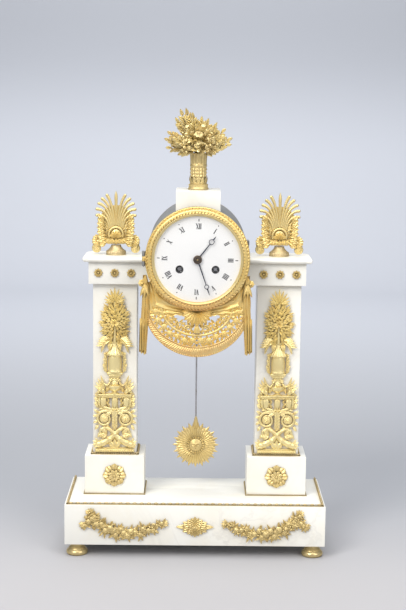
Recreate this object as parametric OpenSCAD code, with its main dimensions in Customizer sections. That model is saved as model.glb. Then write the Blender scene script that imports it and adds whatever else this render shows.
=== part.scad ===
// Portico clock: two marble pillars on a marble base carry a drum clock with a gilt pendulum.
// Millimetres, Z up, front towards -Y. Depths are given as distances in front of the pillar plane.

/* [Base] */
// Width of the marble base
base_w = 290; // [275:1:310]
// Depth of the marble base
base_d = 114.5; // [106:0.5:125]
// Height of the marble base
base_h = 45.5; // [42:0.5:54]
// Distance from the pillar plane to the front of the base
base_front = 71; // [66:0.5:76]
// Height of the turned feet
foot_h = 14.1; // [11:0.1:18]
// Largest diameter of a foot
foot_d = 24; // [18:0.5:28]
// Distance from the base edges to the centre of a foot
foot_inset = 13; // [12:0.5:18]
// Height and width of the beaded strips
bead_h = 3; // [2:0.1:3.4]
// Setback of the beaded strip from the edge of the base
bead_setback = 1.5; // [0.5:0.1:4]

/* [Pillars] */
// Distance from the middle of the clock to a pillar axis
pillar_x = 92.1; // [90:0.1:98]
// Width of a plinth
plinth_w = 67.2; // [62:0.1:70]
// Depth of a plinth
plinth_d = 54; // [48:0.5:60]
// Height of a plinth
plinth_h = 45; // [38:0.5:52]
// Width of a shaft
shaft_w = 49.4; // [47:0.1:52]
// Depth of a shaft
shaft_d = 38.6; // [34:0.1:44]
// Height of a shaft
shaft_h = 196.5; // [193:0.5:215]
// Reach of a frieze outwards from the pillar axis
frieze_out = 29.2; // [27:0.1:32]
// Depth of a frieze
frieze_d = 51.2; // [46:0.1:56]
// Height of a frieze
frieze_h = 24.9; // [22:0.1:28]
// Reach of a cornice outwards from the pillar axis
cornice_out = 36.1; // [34:0.1:39]
// Depth of a cornice
cornice_d = 63.2; // [59:0.1:68]
// Height of a cornice
cornice_h = 5.6; // [5:0.1:8]
// Diameter of the tie rod in each pillar
rod_d = 6; // [4:0.5:8]

/* [Drum] */
// Outer diameter of the drum
drum_d = 113; // [112:0.1:115]
// Wall of the drum
drum_wall = 1.2; // [0.8:0.1:1.6]
// Front of the drum, ahead of the pillar plane
drum_front = 60; // [59.6:0.1:60]
// Back of the drum, behind the pillar plane
drum_back = 65; // [63:0.5:70]
// Height of the drum axis above the underside of the frieze
drum_rise = 33; // [31:0.1:35]
// Depth of the back door
door_depth = 3.5; // [3:0.1:6]
// Height of the door knob
knob_h = 2.5; // [1.5:0.1:4]
// Width of the marble block on the drum
block_w = 48.5; // [44:0.1:54]
// Front of the block, ahead of the pillar plane
block_front = 52.8; // [48:0.1:56]
// Back of the block, behind the pillar plane
block_back = 6.4; // [2:0.1:20]
// Height of the block's top above the drum
block_rise = 16.7; // [13:0.1:22]

/* [Bezel and dial] */
// Outer diameter of the bezel
bezel_d = 114.4; // [113.6:0.1:114.8]
// Depth of the bezel
bezel_depth = 6.9; // [6.4:0.1:7.4]
// Diameter of the visible dial
sight_d = 94.1; // [92:0.1:96]
// Diameter of the enamel dial
dial_d = 99; // [98.4:0.1:99.6]
// Crown of the dial
dial_crown = 2.6; // [2.2:0.1:2.8]
// Crown of the glass
glass_crown = 3.8; // [3.6:0.1:4.6]
// Sideways distance of the winding holes
winding_x = 19.5; // [19.3:0.05:19.8]
// Drop of the winding holes under the dial centre
winding_drop = 11; // [10.8:0.05:11.4]
// Diameter of the winding holes
winding_hole_d = 7.8; // [6:0.1:9]
// Length of the hour hand
hour_hand_len = 32; // [26:0.5:34]
// Length of the minute hand
minute_hand_len = 41; // [36:0.5:42]
// Angle of the hour hand, clockwise from twelve
hour_angle = 38; // [0:1:359]
// Angle of the minute hand, clockwise from twelve
minute_angle = 161; // [0:1:359]

/* [Ornaments] */
// Relief of the garlands on the base
garland_relief = 6; // [4:0.1:8]
// Half width of the base patera
patera_half = 21; // [16:0.5:26]
// Diameter of the plinth rosettes
plinth_rosette_d = 27; // [20:0.5:32]
// Diameter of the frieze rosettes
frieze_rosette_d = 9.9; // [8:0.1:12]
// Spacing of the frieze rosettes
frieze_rosette_step = 18.3; // [14:0.1:18.8]
// Height of a trophy mount
trophy_h = 189; // [180:0.5:189.5]
// Height of a palmette above its cornice
palmette_h = 71.8; // [62:0.1:76]
// Radius of the apron's lower rim
apron_r = 59; // [58:0.1:60]
// Drop of the apron's centre under the drum axis
apron_drop = 50; // [48:0.5:54]
// Length of the hanging draperies
drape_len = 87; // [76:0.5:92]
// Height of the vase
vase_h = 40; // [34:0.5:46]
// Diameter of the vase foot
vase_foot_d = 22.7; // [18:0.1:26]
// Length of the tallest leaf of the bouquet
bouquet_leaf = 42; // [38:0.5:46]

/* [Pendulum] */
// Length from the pivot to the middle of the bob
pendulum_len = 263.2; // [250:0.1:272]
// Diameter of the pendulum rod
pendulum_rod_d = 1.8; // [1.4:0.1:2]
// Diameter of the sunburst
bob_d = 50; // [42:0.5:56]
// Distance of the pendulum behind the pillar plane
pendulum_back = 10; // [9.5:0.1:11]

/* [Movement] */
// Diameter of the movement plates
plate_d = 92; // [90:0.5:94]
// Thickness of the movement plates
plate_t = 2; // [1.5:0.1:2]
// Front face of the front plate, ahead of the pillar plane
plate_front = 53; // [52.8:0.1:53]
// Rear face of the back plate, ahead of the pillar plane
plate_back = 6; // [6:0.1:6.4]
// Diameter of the mainspring barrels
barrel_d = 33; // [30:0.5:34]
// Length of the mainspring barrels
barrel_len = 22; // [18:0.5:22]
// Rise of the anchor pivot above the drum axis
anchor_rise = 38; // [37.8:0.1:38.4]
// Diameter of the bell
bell_d = 56; // [50:0.5:57]

/* [Fits] */
// Running clearance of pivots and hinges, on the radius
pivot_gap = 0.05; // [0.02:0.01:0.08]
// Clearance of pieces pushed on a pipe or a rod, on the radius
push_gap = 0.02; // [0.01:0.01:0.05]
// Gap round curved seats
seat_gap = 0.3; // [0.1:0.05:0.5]

/* [Hidden] */
$fn = 96;
marble = [0.96, 0.94, 0.88];
ormolu = [0.83, 0.63, 0.22];
brass = [0.78, 0.63, 0.3];
steel = [0.55, 0.56, 0.58];
blued = [0.1, 0.12, 0.24];
sheet = [0.5, 0.5, 0.5];
enamel = [0.97, 0.97, 0.95];

// Levels, upwards from the table
base_top = foot_h + base_h;
plinth_top = base_top + plinth_h;
// The shafts grow where a longer pendulum or a larger bob needs the room
bob_gap = 6;
pendulum_room = plinth_h + shaft_h + drum_rise + anchor_rise;
shaft_lift = max(0, pendulum_len + bob_d / 2 + bob_gap - pendulum_room);
shaft_top = plinth_top + shaft_h + shaft_lift;
frieze_top = shaft_top + frieze_h;
cornice_top = frieze_top + cornice_h;
drum_z = shaft_top + drum_rise;
block_top = drum_z + drum_d / 2 + block_rise;
pivot_z = drum_z + anchor_rise;
bob_z = pivot_z - pendulum_len;
vase_top = block_top + vase_h;

// Radii and depths of the drum and what closes it
drum_r = drum_d / 2;
seat_r = drum_r + seat_gap;
bezel_r = bezel_d / 2;
sight_r = sight_d / 2;
dial_r = dial_d / 2;
flange_t = 1.5;
flange_r = dial_r - 1;
bezel_back = drum_front + 0.4;
bezel_front = bezel_back + bezel_depth;
bezel_bore = bezel_r - 5.2;
glass_r = bezel_bore - 0.2;
glass_t = 1.2;
glass_seat = bezel_front - 2.7;
dial_apex = drum_front + 0.8 + dial_crown;
hour_plane = dial_apex + 0.9;
minute_plane = dial_apex + 1.9;
hand_t = 0.5;
hinge_x = drum_r + 2.4;
hinge_front = drum_front + 1.5;
hinge_back = drum_back + 1.5;
knuckle_r = 1.6;
knuckle_len = 5;
knuckle_gap = 0.3;
hinge_pin_r = 0.6;
block_mid = (block_front - block_back) / 2;
stud_r = 2;
bolt_r = 2.5;
bolt_drop = 16;

// Middle of the object between its foremost and rearmost points
frame_shift = (base_front + garland_relief - drum_back - door_depth - knob_h) / 2;

// Wheel work: centre distances follow from the tooth counts
plate_in_front = plate_front - plate_t;
plate_in_back = plate_back + plate_t;
barrel_at = [winding_x, -winding_drop];
barrel_reach = norm(barrel_at);
great_teeth = 84;
great_pinion = 12;
great_mod = 2 * barrel_reach / (great_teeth + great_pinion);
centre_teeth = 84;
third_pinion = 7;
centre_mod = 0.4;
third_reach = centre_mod * (centre_teeth + third_pinion) / 2;
third_teeth = 68;
escape_pinion = 7;
third_mod = 0.36;
escape_reach = third_mod * (third_teeth + escape_pinion) / 2;
escape_at = [0, anchor_rise - 13];
escape_r = 9;
third_z = (escape_at[1] * escape_at[1] + third_reach * third_reach - escape_reach * escape_reach)
    / (2 * escape_at[1]);
third_at = [-sqrt(third_reach * third_reach - third_z * third_z), third_z];
strike_angle = 120;
strike_barrel_at = [-barrel_at[0], barrel_at[1]];
strike_at = strike_barrel_at + barrel_reach * [cos(strike_angle), sin(strike_angle)];
minute_at = [0, 12];
hammer_at = [-36, 21];
bell_post_at = [24, -28];
going_plane = plate_in_front - 3.5;
strike_plane = going_plane - 3.5;
wheel_plane = plate_in_back + 11.5;
third_plane = plate_in_back + 7.5;
escape_plane = plate_in_back + 4;
motion_plane = plate_front + 0.8;
hour_wheel_plane = plate_front + 2.9;
arbor_r = 3;
centre_r = 0.9;
cannon_r = 1.7;
hour_pipe_r = 2.6;
pivot_r = 0.6;
dial_foot_r = 1.2;
dial_foot_ring = 40;
bell_r = bell_d / 2;
bell_mouth = pendulum_back + bell_d * 0.18;
bell_depth = bell_d * 0.43;
strap_x = drum_r - drum_wall - 4.5;

// Shared shapes

// Points of an elliptic arc from angle a0 to angle a1
function arc(cx, cy, rx, ry, a0, a1, steps = 8) =
    [for (i = [0:steps]) let (a = a0 + (a1 - a0) * i / steps) [cx + rx * cos(a), cy + ry * sin(a)]];

// Pointed leaf that grows from the origin along +Y
function leaf_points(len, wid, steps = 6) = concat(
    [for (i = [0:steps]) [wid / 2 * sin(180 * i / steps), len * i / steps]],
    [for (i = [steps - 1:-1:1]) [-wid / 2 * sin(180 * i / steps), len * i / steps]]);

// Flower outline with rounded petals
function flower_points(r, petals, lobe = 0.14, steps = 4) =
    [for (i = [0:petals * steps - 1]) let (a = 360 * i / (petals * steps),
        q = r * (1 - lobe + lobe * cos(petals * a))) [q * cos(a), q * sin(a)]];

// Star outline with sharp rays
function star_points(rays, tip, root) =
    [for (i = [0:2 * rays - 1]) let (a = 180 * i / rays + 90)
        (i % 2 == 0 ? tip : root) * [cos(a), sin(a)]];

// Wheel outline with slim teeth that run clear in their mates
function gear_points(teeth, mod, tip = 0.6, root = 1.0, base_share = 0.5, tip_share = 0.2) =
    [for (i = [0:teeth - 1], k = [0:3]) let (step = 360 / teeth,
        share = (k == 0 || k == 3) ? base_share : tip_share,
        a = i * step + (k < 2 ? -1 : 1) * share * step / 2,
        q = teeth * mod / 2 + ((k == 1 || k == 2) ? tip : -root) * mod) [q * cos(a), q * sin(a)]];

// Rotation that puts a tooth of the driver, and a gap of the follower, on the line of centres
function facing_angle(from, to) = atan2(to[1] - from[1], to[0] - from[0]);
function gap_angle(from, to, teeth) = facing_angle(to, from) + 180 / teeth;

// Straight bar between two points
function bar_points(p, q, w) = let (d = q - p, n = [-d[1], d[0]] / norm(d) * w / 2)
    [p + n, q + n, q - n, p - n];

module in_frame() {
    translate([0, frame_shift, 0])
        children();
}

module at_drum() {
    translate([0, 0, drum_z])
        children();
}

// Extrudes an x-z outline between two distances in front of the pillar plane
module facing(back, front) {
    translate([0, -back, 0])
        rotate([90, 0, 0])
            linear_extrude(front - back)
                children();
}

// Round post along the depth
module post(at, back, front, r) {
    translate([at[0], -back, at[1]])
        rotate([90, 0, 0])
            cylinder(h = front - back, r = r);
}

// Turned form round the drum axis, from points [radius, distance in front of the pillar plane]
module turned(profile) {
    rotate([90, 0, 0])
        rotate_extrude()
            polygon(profile);
}

// Box from its lowest corner to its highest
module block(low, high) {
    translate(low)
        cube(high - low);
}

// Runs a left-hand part again, mirrored, on the right
module on_right() {
    mirror([1, 0, 0])
        children();
}

module leaf(len, wid) {
    polygon(leaf_points(len, wid));
}

module bar(p, q, w) {
    polygon(bar_points(p, q, w));
}

module ring(outer, inner) {
    difference() {
        circle(outer);
        circle(inner);
    }
}

// Round rosette with a button in the middle, standing on a face at the given depth
module rosette(at, face, r, petals, relief) {
    translate([at[0], 0, at[1]]) {
        facing(face, face + relief * 0.6)
            polygon(flower_points(r, petals));
        facing(face, face + relief)
            circle(r * 0.36, $fn = 32);
    }
}

// Base

module base_slab() {
    color(marble)
        difference() {
            block([-base_w / 2, -base_front, foot_h], [base_w / 2, base_d - base_front, base_top]);
            for (side = [-1, 1])
                translate([side * pillar_x, 0, foot_h - 1])
                    cylinder(h = base_h + 2, d = rod_d + 1);
        }
}

module feet() {
    bun_h = foot_h * 0.6;
    neck_r = foot_d * 0.29;
    profile = concat([[0, 0]],
        arc(foot_d / 2 - bun_h / 2, bun_h / 2, bun_h / 2, bun_h / 2, -90, 80),
        arc(foot_d / 2 - 1, foot_h * 0.8, foot_d / 2 - 1 - neck_r, foot_h * 0.16, -90, -180, 4),
        [[neck_r, foot_h * 0.84], [foot_d * 0.36, foot_h * 0.88], [foot_d * 0.36, foot_h], [0, foot_h]]);
    color(ormolu)
        for (x = [-1, 1], y = [foot_inset - base_front, base_d - base_front - foot_inset])
            translate([x * (base_w / 2 - foot_inset), y, 0])
                rotate_extrude()
                    polygon(profile);
}

module base_moulding() {
    out_x = base_w / 2 - bead_setback;
    front = base_front - bead_setback;
    color(ormolu)
        difference() {
            block([-out_x, -front, base_top], [out_x, base_d - base_front, base_top + bead_h]);
            block([bead_h - out_x, bead_h - front, base_top - 1],
                [out_x - bead_h, base_d - base_front + 1, base_top + bead_h + 1]);
        }
}

// Swag of flowers and leaves along a hanging curve, measured from the middle of the base's lower edge
module garland() {
    inner = [base_w * 0.11, base_h * 0.52];
    dip = [base_w * 0.31, -base_h * 0.02];
    outer = [base_w * 0.41, base_h * 0.82];
    flowers = 17;
    color(ormolu)
        translate([0, 0, foot_h])
            for (i = [0:flowers - 1]) {
                t = i / (flowers - 1);
                p = (1 - t) * (1 - t) * inner + 2 * t * (1 - t) * dip + t * t * outer;
                swell = base_h * (0.075 + 0.07 * sin(180 * t));
                translate([-p[0], 0, p[1]]) {
                    facing(base_front, base_front + garland_relief * (0.62 + 0.38 * (i % 2)))
                        rotate(i * 25)
                            polygon(flower_points(swell, 5));
                    facing(base_front, base_front + garland_relief * 0.45)
                        for (turn = [-60, 60])
                            rotate(turn + i * 15)
                                leaf(swell + base_h * 0.055, base_h * 0.088);
                }
            }
}

module garland_left() {
    garland();
}

module garland_right() {
    on_right()
        garland();
}

module base_patera() {
    mid = foot_h + base_h * 0.48;
    color(ormolu)
        translate([0, 0, mid]) {
            facing(base_front, base_front + garland_relief * 0.4)
                for (turn = [0:30:330])
                    rotate(turn)
                        leaf(patera_half * (0.53 + 0.47 * pow(abs(sin(turn)), 2)), patera_half * 0.3);
            facing(base_front, base_front + garland_relief * 0.7)
                polygon(flower_points(patera_half * 0.32, 8));
            facing(base_front, base_front + garland_relief * 0.9)
                circle(patera_half * 0.12, $fn = 32);
        }
}

// Pillars

module pillar_bore(bottom, top) {
    translate([-pillar_x, 0, bottom - 1])
        cylinder(h = top - bottom + 2, d = rod_d + 1);
}

module plinth() {
    color(marble)
        difference() {
            block([-pillar_x - plinth_w / 2, -plinth_d / 2, base_top],
                [-pillar_x + plinth_w / 2, plinth_d / 2, plinth_top]);
            pillar_bore(base_top, plinth_top);
        }
}

module plinth_left() {
    plinth();
}

module plinth_right() {
    on_right()
        plinth();
}

module shaft() {
    color(marble)
        difference() {
            block([-pillar_x - shaft_w / 2, -shaft_d / 2, plinth_top],
                [-pillar_x + shaft_w / 2, shaft_d / 2, shaft_top]);
            pillar_bore(plinth_top, shaft_top);
        }
}

module shaft_left() {
    shaft();
}

module shaft_right() {
    on_right()
        shaft();
}

// Square strip round the foot of a block
module foot_strip(w, d, level) {
    translate([-pillar_x, 0, level])
        difference() {
            block([-w / 2 - bead_h, -d / 2 - bead_h, 0], [w / 2 + bead_h, d / 2 + bead_h, bead_h]);
            block([-w / 2, -d / 2, -1], [w / 2, d / 2, bead_h + 1]);
        }
}

module pillar_mouldings() {
    color(ormolu)
        for (side = [0, 1])
            mirror([side, 0, 0]) {
                foot_strip(plinth_w, plinth_d, base_top);
                foot_strip(shaft_w, shaft_d, plinth_top);
            }
}

module pillar_rosettes() {
    color(ormolu)
        for (side = [-1, 1]) {
            rosette([side * pillar_x, base_top + plinth_h / 2], plinth_d / 2, plinth_rosette_d / 2, 8, 5);
            for (k = [-1:1])
                rosette([side * (pillar_x + k * frieze_rosette_step), shaft_top + frieze_h / 2],
                    frieze_d / 2, frieze_rosette_d / 2, 8, 2.6);
        }
}

// Outline that the drum cuts out of what leans on it
module drum_seat() {
    at_drum()
        post([0, 0], -drum_back, drum_front, seat_r);
}

module bolt_line(r, from, to) {
    translate([-from, 0, drum_z - bolt_drop])
        rotate([0, -90, 0])
            cylinder(h = to - from, r = r);
}

module frieze() {
    color(marble)
        difference() {
            block([-pillar_x - frieze_out, -frieze_d / 2, shaft_top],
                [-drum_r * 0.4, frieze_d / 2, frieze_top]);
            drum_seat();
            pillar_bore(shaft_top, frieze_top);
            bolt_line(bolt_r + 0.1, drum_r * 0.4, pillar_x - 12);
        }
}

module frieze_left() {
    frieze();
}

module frieze_right() {
    on_right()
        frieze();
}

// Rounded edge of the cornice, as far out as half its size
function cornice_edge(half) = let (r = cornice_h / 2)
    [for (t = [-90:10:90]) [half - r + r * cos(t), r + r * sin(t)]];

module cornice() {
    across = cornice_edge(cornice_d / 2);
    outwards = cornice_edge(pillar_x + cornice_out);
    inner = drum_r * 0.8;
    color(marble)
        difference() {
            translate([0, 0, frieze_top])
                intersection() {
                    facing(-cornice_d, cornice_d)
                        polygon(concat([for (p = outwards) [-p[0], p[1]]],
                            [[-inner, cornice_h], [-inner, 0]]));
                    rotate([90, 0, -90])
                        linear_extrude(pillar_x + cornice_out + 1)
                            polygon(concat(across,
                                [for (i = [len(across) - 1:-1:0]) [-across[i][0], across[i][1]]]));
                }
            drum_seat();
            pillar_bore(frieze_top, cornice_top);
        }
}

module cornice_left() {
    cornice();
}

module cornice_right() {
    on_right()
        cornice();
}

module pillar_rods() {
    nut_h = 4;
    color(steel)
        for (side = [-1, 1])
            translate([side * pillar_x, 0, 0]) {
                translate([0, 0, foot_h - nut_h])
                    cylinder(h = cornice_top + 5 - foot_h + nut_h, d = rod_d);
                translate([0, 0, foot_h - nut_h])
                    cylinder(h = nut_h, d = rod_d * 2, $fn = 6);
            }
}

// Palmette: a fan of blades on a scrolled body, drawn round the pillar axis from the cornice upwards
palmette_unit = palmette_h / 68.9;
palmette_boss = 22.5;

module palmette() {
    color(ormolu)
        translate([-pillar_x, 0, cornice_top]) {
            facing(-1.5 * palmette_unit, 1.5 * palmette_unit)
                scale(palmette_unit)
                    translate([0, palmette_boss])
                        for (k = [-5:5])
                            rotate(sign(k) * (4.5 + abs(k) * 8.4))
                                translate([0, 4])
                                    polygon(leaf_points(k == 0 ? 42.4 : 39.4 - k * k * 0.6, 4.6));
            facing(-2.5 * palmette_unit, 3 * palmette_unit)
                scale(palmette_unit) {
                    translate([0, palmette_boss + 3])
                        for (k = [-4:4])
                            rotate(k * 24)
                                polygon(leaf_points(20, 6));
                    for (side = [-1, 1]) {
                        translate([side * 21, 6.2])
                            circle(5.6, $fn = 40);
                        translate([side * 20, 15])
                            circle(6.2, $fn = 40);
                        translate([side * 15.2, 25])
                            circle(6.2, $fn = 32);
                        polygon(bar_points([side * 4, 15.5], [side * 22, 13.5], 9));
                    }
                    polygon(bar_points([0, 10.5], [0, 27], 16));
                }
            facing(2 * palmette_unit, 5 * palmette_unit)
                scale(palmette_unit) {
                    translate([0, palmette_boss])
                        circle(6, $fn = 40);
                    for (side = [-1, 1])
                        translate([side * 21, 6.2])
                            circle(3.6, $fn = 32);
                }
        }
}

module palmette_left() {
    palmette();
}

module palmette_right() {
    on_right()
        palmette();
}

module palmette_stands() {
    top = 10.3 * palmette_unit;
    profile = concat([[rod_d / 2 + 0.2, 0], [11.6, 0], [11.6, 2.4]],
        arc(11.6, 2.4 + top * 0.62, 6.6, top * 0.62, -90, -180, 5),
        [[5, top], [rod_d / 2 + 0.2, top]]);
    color(ormolu)
        for (side = [-1, 1])
            translate([side * pillar_x, 0, cornice_top])
                rotate_extrude()
                    polygon(profile);
}

// Trophy mount of the shaft, drawn upwards from the plinth: crossed dolphins, scrolls, altar, casket and bush
trophy_unit = trophy_h / 189;

module trophy_bush() {
    for (tier = [0:4])
        translate([0, 129 + tier * 9.5])
            for (k = [-3:3])
                rotate(k * 26)
                    leaf(24 - tier * 1.4 - abs(k) * 1.2 + (k == 0 ? 4 : 0), 6);
}

module trophy_sides() {
    for (side = [-1, 1]) {
        translate([side * 11.5, 74])
            for (k = [0:3])
                rotate(-side * (4 + k * 22))
                    leaf(22 - k * 4.2, 6);
        translate([side * 6, 100])
            for (k = [0:2])
                rotate(-side * (10 + k * 24))
                    leaf(20 - k * 3, 5);
        bar([0, 93], [side * 14, 82], 3);
        bar([side * 14, 56], [side * 14, 76], 6);
        bar([side * 2, 52], [side * 17, 57], 4);
    }
}

module trophy_scrolls() {
    for (side = [-1, 1]) {
        translate([side * 12.2, 41])
            ring(9.6, 6.9);
        translate([side * 12.2, 41])
            polygon(flower_points(6, 6));
        bar([side * 5, 41], [side * 9, 41], 3);
        bar([side * 16.5, 7.5], [-side * 6, 34], 5.5);
        bar([side * 12, 33], [side * 3, 23], 4);
    }
    bar([0, 22], [0, 56], 6);
}

module trophy_centre() {
    bar([0, 55], [0, 75], 6);
    bar([-12.5, 76], [12.5, 76], 4);
    polygon([[-4, 77], [4, 77], [6.5, 87], [-6.5, 87]]);
    bar([0, 86], [0, 98], 9);
    bar([-8.5, 97], [8.5, 97], 3.4);
    bar([0, 97], [0, 118], 15);
    translate([0, 117])
        circle(7.5, $fn = 40);
    polygon([[-10, 119], [10, 119], [2.5, 132], [-2.5, 132]]);
    for (side = [-1, 1])
        translate([side * 16.5, 7.2])
            circle(4.6, $fn = 32);
}

module trophy() {
    face = shaft_d / 2;
    color(ormolu)
        translate([-pillar_x, 0, plinth_top + bead_h + 0.2]) {
            facing(face, face + 3)
                scale(trophy_unit) {
                    trophy_bush();
                    trophy_sides();
                }
            facing(face, face + 4.5)
                scale(trophy_unit) {
                    trophy_scrolls();
                    bar([-22.5, 1.6], [22.5, 1.6], 3.2);
                    bar([0, 2], [0, 10], 20);
                }
            facing(face, face + 6)
                scale(trophy_unit)
                    trophy_centre();
        }
}

module trophy_left() {
    trophy();
}

module trophy_right() {
    on_right()
        trophy();
}

// Drum, its door, bezel, dial and hands

module hinge_knuckle(low, high, front) {
    translate([-hinge_x, -front, low])
        cylinder(h = high - low, r = knuckle_r, $fn = 48);
}

module hinge_hole(front) {
    translate([-hinge_x, -front, -2 * knuckle_len])
        cylinder(h = 4 * knuckle_len, r = hinge_pin_r + pivot_gap, $fn = 48);
}

// Two fixed knuckles and their webs on the drum, for a hinge that lies past the drum's front edge
module drum_knuckles(edge, front) {
    for (low = [knuckle_len / 2 + knuckle_gap, -1.5 * knuckle_len - knuckle_gap]) {
        hinge_knuckle(low, low + knuckle_len, front);
        block([-hinge_x - knuckle_r, -front, low], [-drum_r - 0.9, 8 - edge, low + knuckle_len]);
        block([-hinge_x, 0.5 - edge, low], [-drum_r + drum_wall * 0.7, 8 - edge, low + knuckle_len]);
    }
}

module drum_case() {
    slot_half = 11;
    slot_depth = 12;
    color(sheet)
        at_drum()
            difference() {
                union() {
                    difference() {
                        post([0, 0], -drum_back, drum_front, drum_r);
                        post([0, 0], -drum_back - 1, drum_front + 1, drum_r - drum_wall);
                    }
                    for (level = [drum_front - flange_t, flange_t - drum_back])
                        turned([[flange_r, level], [drum_r - drum_wall / 2, level],
                            [drum_r - drum_wall / 2, level + flange_t], [flange_r, level + flange_t]]);
                    drum_knuckles(drum_front, hinge_front);
                    rotate([0, 0, 180])
                        drum_knuckles(drum_back, hinge_back);
                }
                hinge_hole(hinge_front);
                rotate([0, 0, 180])
                    hinge_hole(hinge_back);
                block([-slot_half, pendulum_back - slot_depth / 2, -drum_r - 1],
                    [slot_half, pendulum_back + slot_depth / 2, -drum_r * 0.6]);
                translate([0, -block_mid, drum_r - 8])
                    cylinder(h = 16, r = stud_r + 0.1);
                for (turn = [0, 180])
                    rotate([0, 0, turn])
                        translate([0, 0, -drum_z])
                            bolt_line(bolt_r + 0.1, drum_r * 0.8, drum_r + 2);
            }
}

module drum_bolts() {
    head_x = sqrt(pow(drum_r - drum_wall, 2) - pow(bolt_drop + 4, 2)) - 0.4;
    color(steel)
        for (turn = [0, 180])
            rotate([0, 0, turn]) {
                bolt_line(4, head_x - 2.5, head_x);
                bolt_line(bolt_r, head_x - 1, pillar_x - 13);
            }
}

module hinge_pins() {
    half = 1.5 * knuckle_len + 1.2;
    color(steel)
        at_drum() {
            translate([-hinge_x, -hinge_front, -half])
                cylinder(h = 2 * half, r = hinge_pin_r, $fn = 48);
            translate([hinge_x, hinge_back, -half])
                cylinder(h = 2 * half, r = hinge_pin_r, $fn = 48);
        }
}

module bezel() {
    crest = bezel_front - 3.6;
    mid = (bezel_r + bezel_bore) / 2;
    half = (bezel_r - bezel_bore) / 2;
    profile = concat([[bezel_r, bezel_back]], arc(mid, crest, half, 3.6, 0, 155, 10),
        [[bezel_bore, glass_seat], [bezel_bore - 1.6, glass_seat], [sight_r, bezel_back + 1.6],
        [sight_r, bezel_back + 1.1], [dial_r + 0.7, bezel_back + 1.6], [dial_r + 0.7, bezel_back]]);
    web_low = -knuckle_len / 2;
    color(ormolu)
        at_drum()
            difference() {
                union() {
                    turned(profile);
                    hinge_knuckle(web_low, -web_low, hinge_front);
                    block([-hinge_x, -hinge_front - 1.4, web_low],
                        [-bezel_r + 2.5, -bezel_back - 0.2, -web_low]);
                }
                hinge_hole(hinge_front);
            }
}

// Height of a shallow dome at radius r
function dome(r, rim_r, rim, apex) = apex - (apex - rim) * r * r / (rim_r * rim_r);

module bezel_glass() {
    steps = 8;
    radii = [for (i = [0:steps]) glass_r * i / steps];
    rim = glass_seat + 0.05;
    apex = glass_seat + glass_crown;
    color([0.85, 0.9, 0.92, 0.4])
        at_drum()
            turned(concat([for (r = radii) [r, dome(r, glass_r, rim, apex)]],
                [for (i = [steps:-1:0]) [radii[i], dome(radii[i], glass_r, rim, apex) + glass_t]]));
}

module dial() {
    steps = 8;
    hole = hour_pipe_r + 0.6;
    radii = [for (i = [0:steps]) hole + (dial_r - hole) * i / steps];
    shell = 1.5;
    rim = drum_front + 0.8;
    back_r = flange_r - 1;
    color(enamel)
        at_drum()
            difference() {
                union() {
                    turned(concat([for (r = radii) [r, dome(r, dial_r, rim, dial_apex)]],
                        [[dial_r, drum_front], [back_r, drum_front]],
                        [for (i = [steps - 1:-1:0])
                            [radii[i], dome(radii[i], back_r, drum_front, dial_apex - shell)]]));
                    for (turn = [60, 180, 300])
                        post(dial_foot_ring * [cos(turn), sin(turn)], plate_in_front - 0.5,
                            dome(dial_foot_ring, back_r, drum_front, dial_apex - shell) + 0.4, dial_foot_r);
                }
                for (side = [-1, 1])
                    post([side * winding_x, -winding_drop], drum_front - 4, dial_apex + 4,
                        winding_hole_d / 2);
            }
}

// Moon-ring hand that points up, with its hub at the origin
module hand_outline(len, hub, hole, ring_r) {
    ring_at = len * 0.765;
    ring_w = 0.75;
    root = 0.8;
    neck = 0.5;
    tip = 0.85;
    point = 0.25;
    difference() {
        union() {
            circle(hub, $fn = 48);
            polygon([[-root, 0], [root, 0], [neck, ring_at - ring_r + 0.3], [-neck, ring_at - ring_r + 0.3]]);
            translate([0, ring_at])
                ring(ring_r, ring_r - ring_w, $fn = 48);
            polygon([[-tip, ring_at + ring_r - 0.3], [tip, ring_at + ring_r - 0.3],
                [point, len], [-point, len]]);
        }
        circle(hole, $fn = 48);
    }
}

module hour_hand() {
    color(blued)
        at_drum()
            facing(hour_plane, hour_plane + hand_t)
                rotate(-hour_angle)
                    hand_outline(hour_hand_len, 4.4, hour_pipe_r + push_gap, 3.1);
}

module minute_hand() {
    color(blued)
        at_drum()
            facing(minute_plane, minute_plane + hand_t)
                rotate(-minute_angle)
                    hand_outline(minute_hand_len, 2.6, cannon_r + push_gap, 2.6);
}

module back_door() {
    skirt = drum_back + 0.4;
    rear = drum_back + door_depth;
    color(brass)
        at_drum()
            difference() {
                union() {
                    turned([[0, -rear], [drum_r - 0.8, -rear], [drum_r, -rear + 0.8], [drum_r, -skirt],
                        [drum_r - 1.4, -skirt], [drum_r - 1.4, -rear + 1.2], [0, -rear + 1.2]]);
                    post([-drum_r * 0.82, 0], -rear - knob_h, -rear + 0.4, 3.2);
                    rotate([0, 0, 180]) {
                        hinge_knuckle(-knuckle_len / 2, knuckle_len / 2, hinge_back);
                        block([-hinge_x, -hinge_back - 1.4, -knuckle_len / 2],
                            [-drum_r + 1, -skirt - 0.2, knuckle_len / 2]);
                    }
                }
                rotate([0, 0, 180])
                    hinge_hole(hinge_back);
            }
}

// Apron under the bezel, its draperies, and the flowers on top

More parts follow.
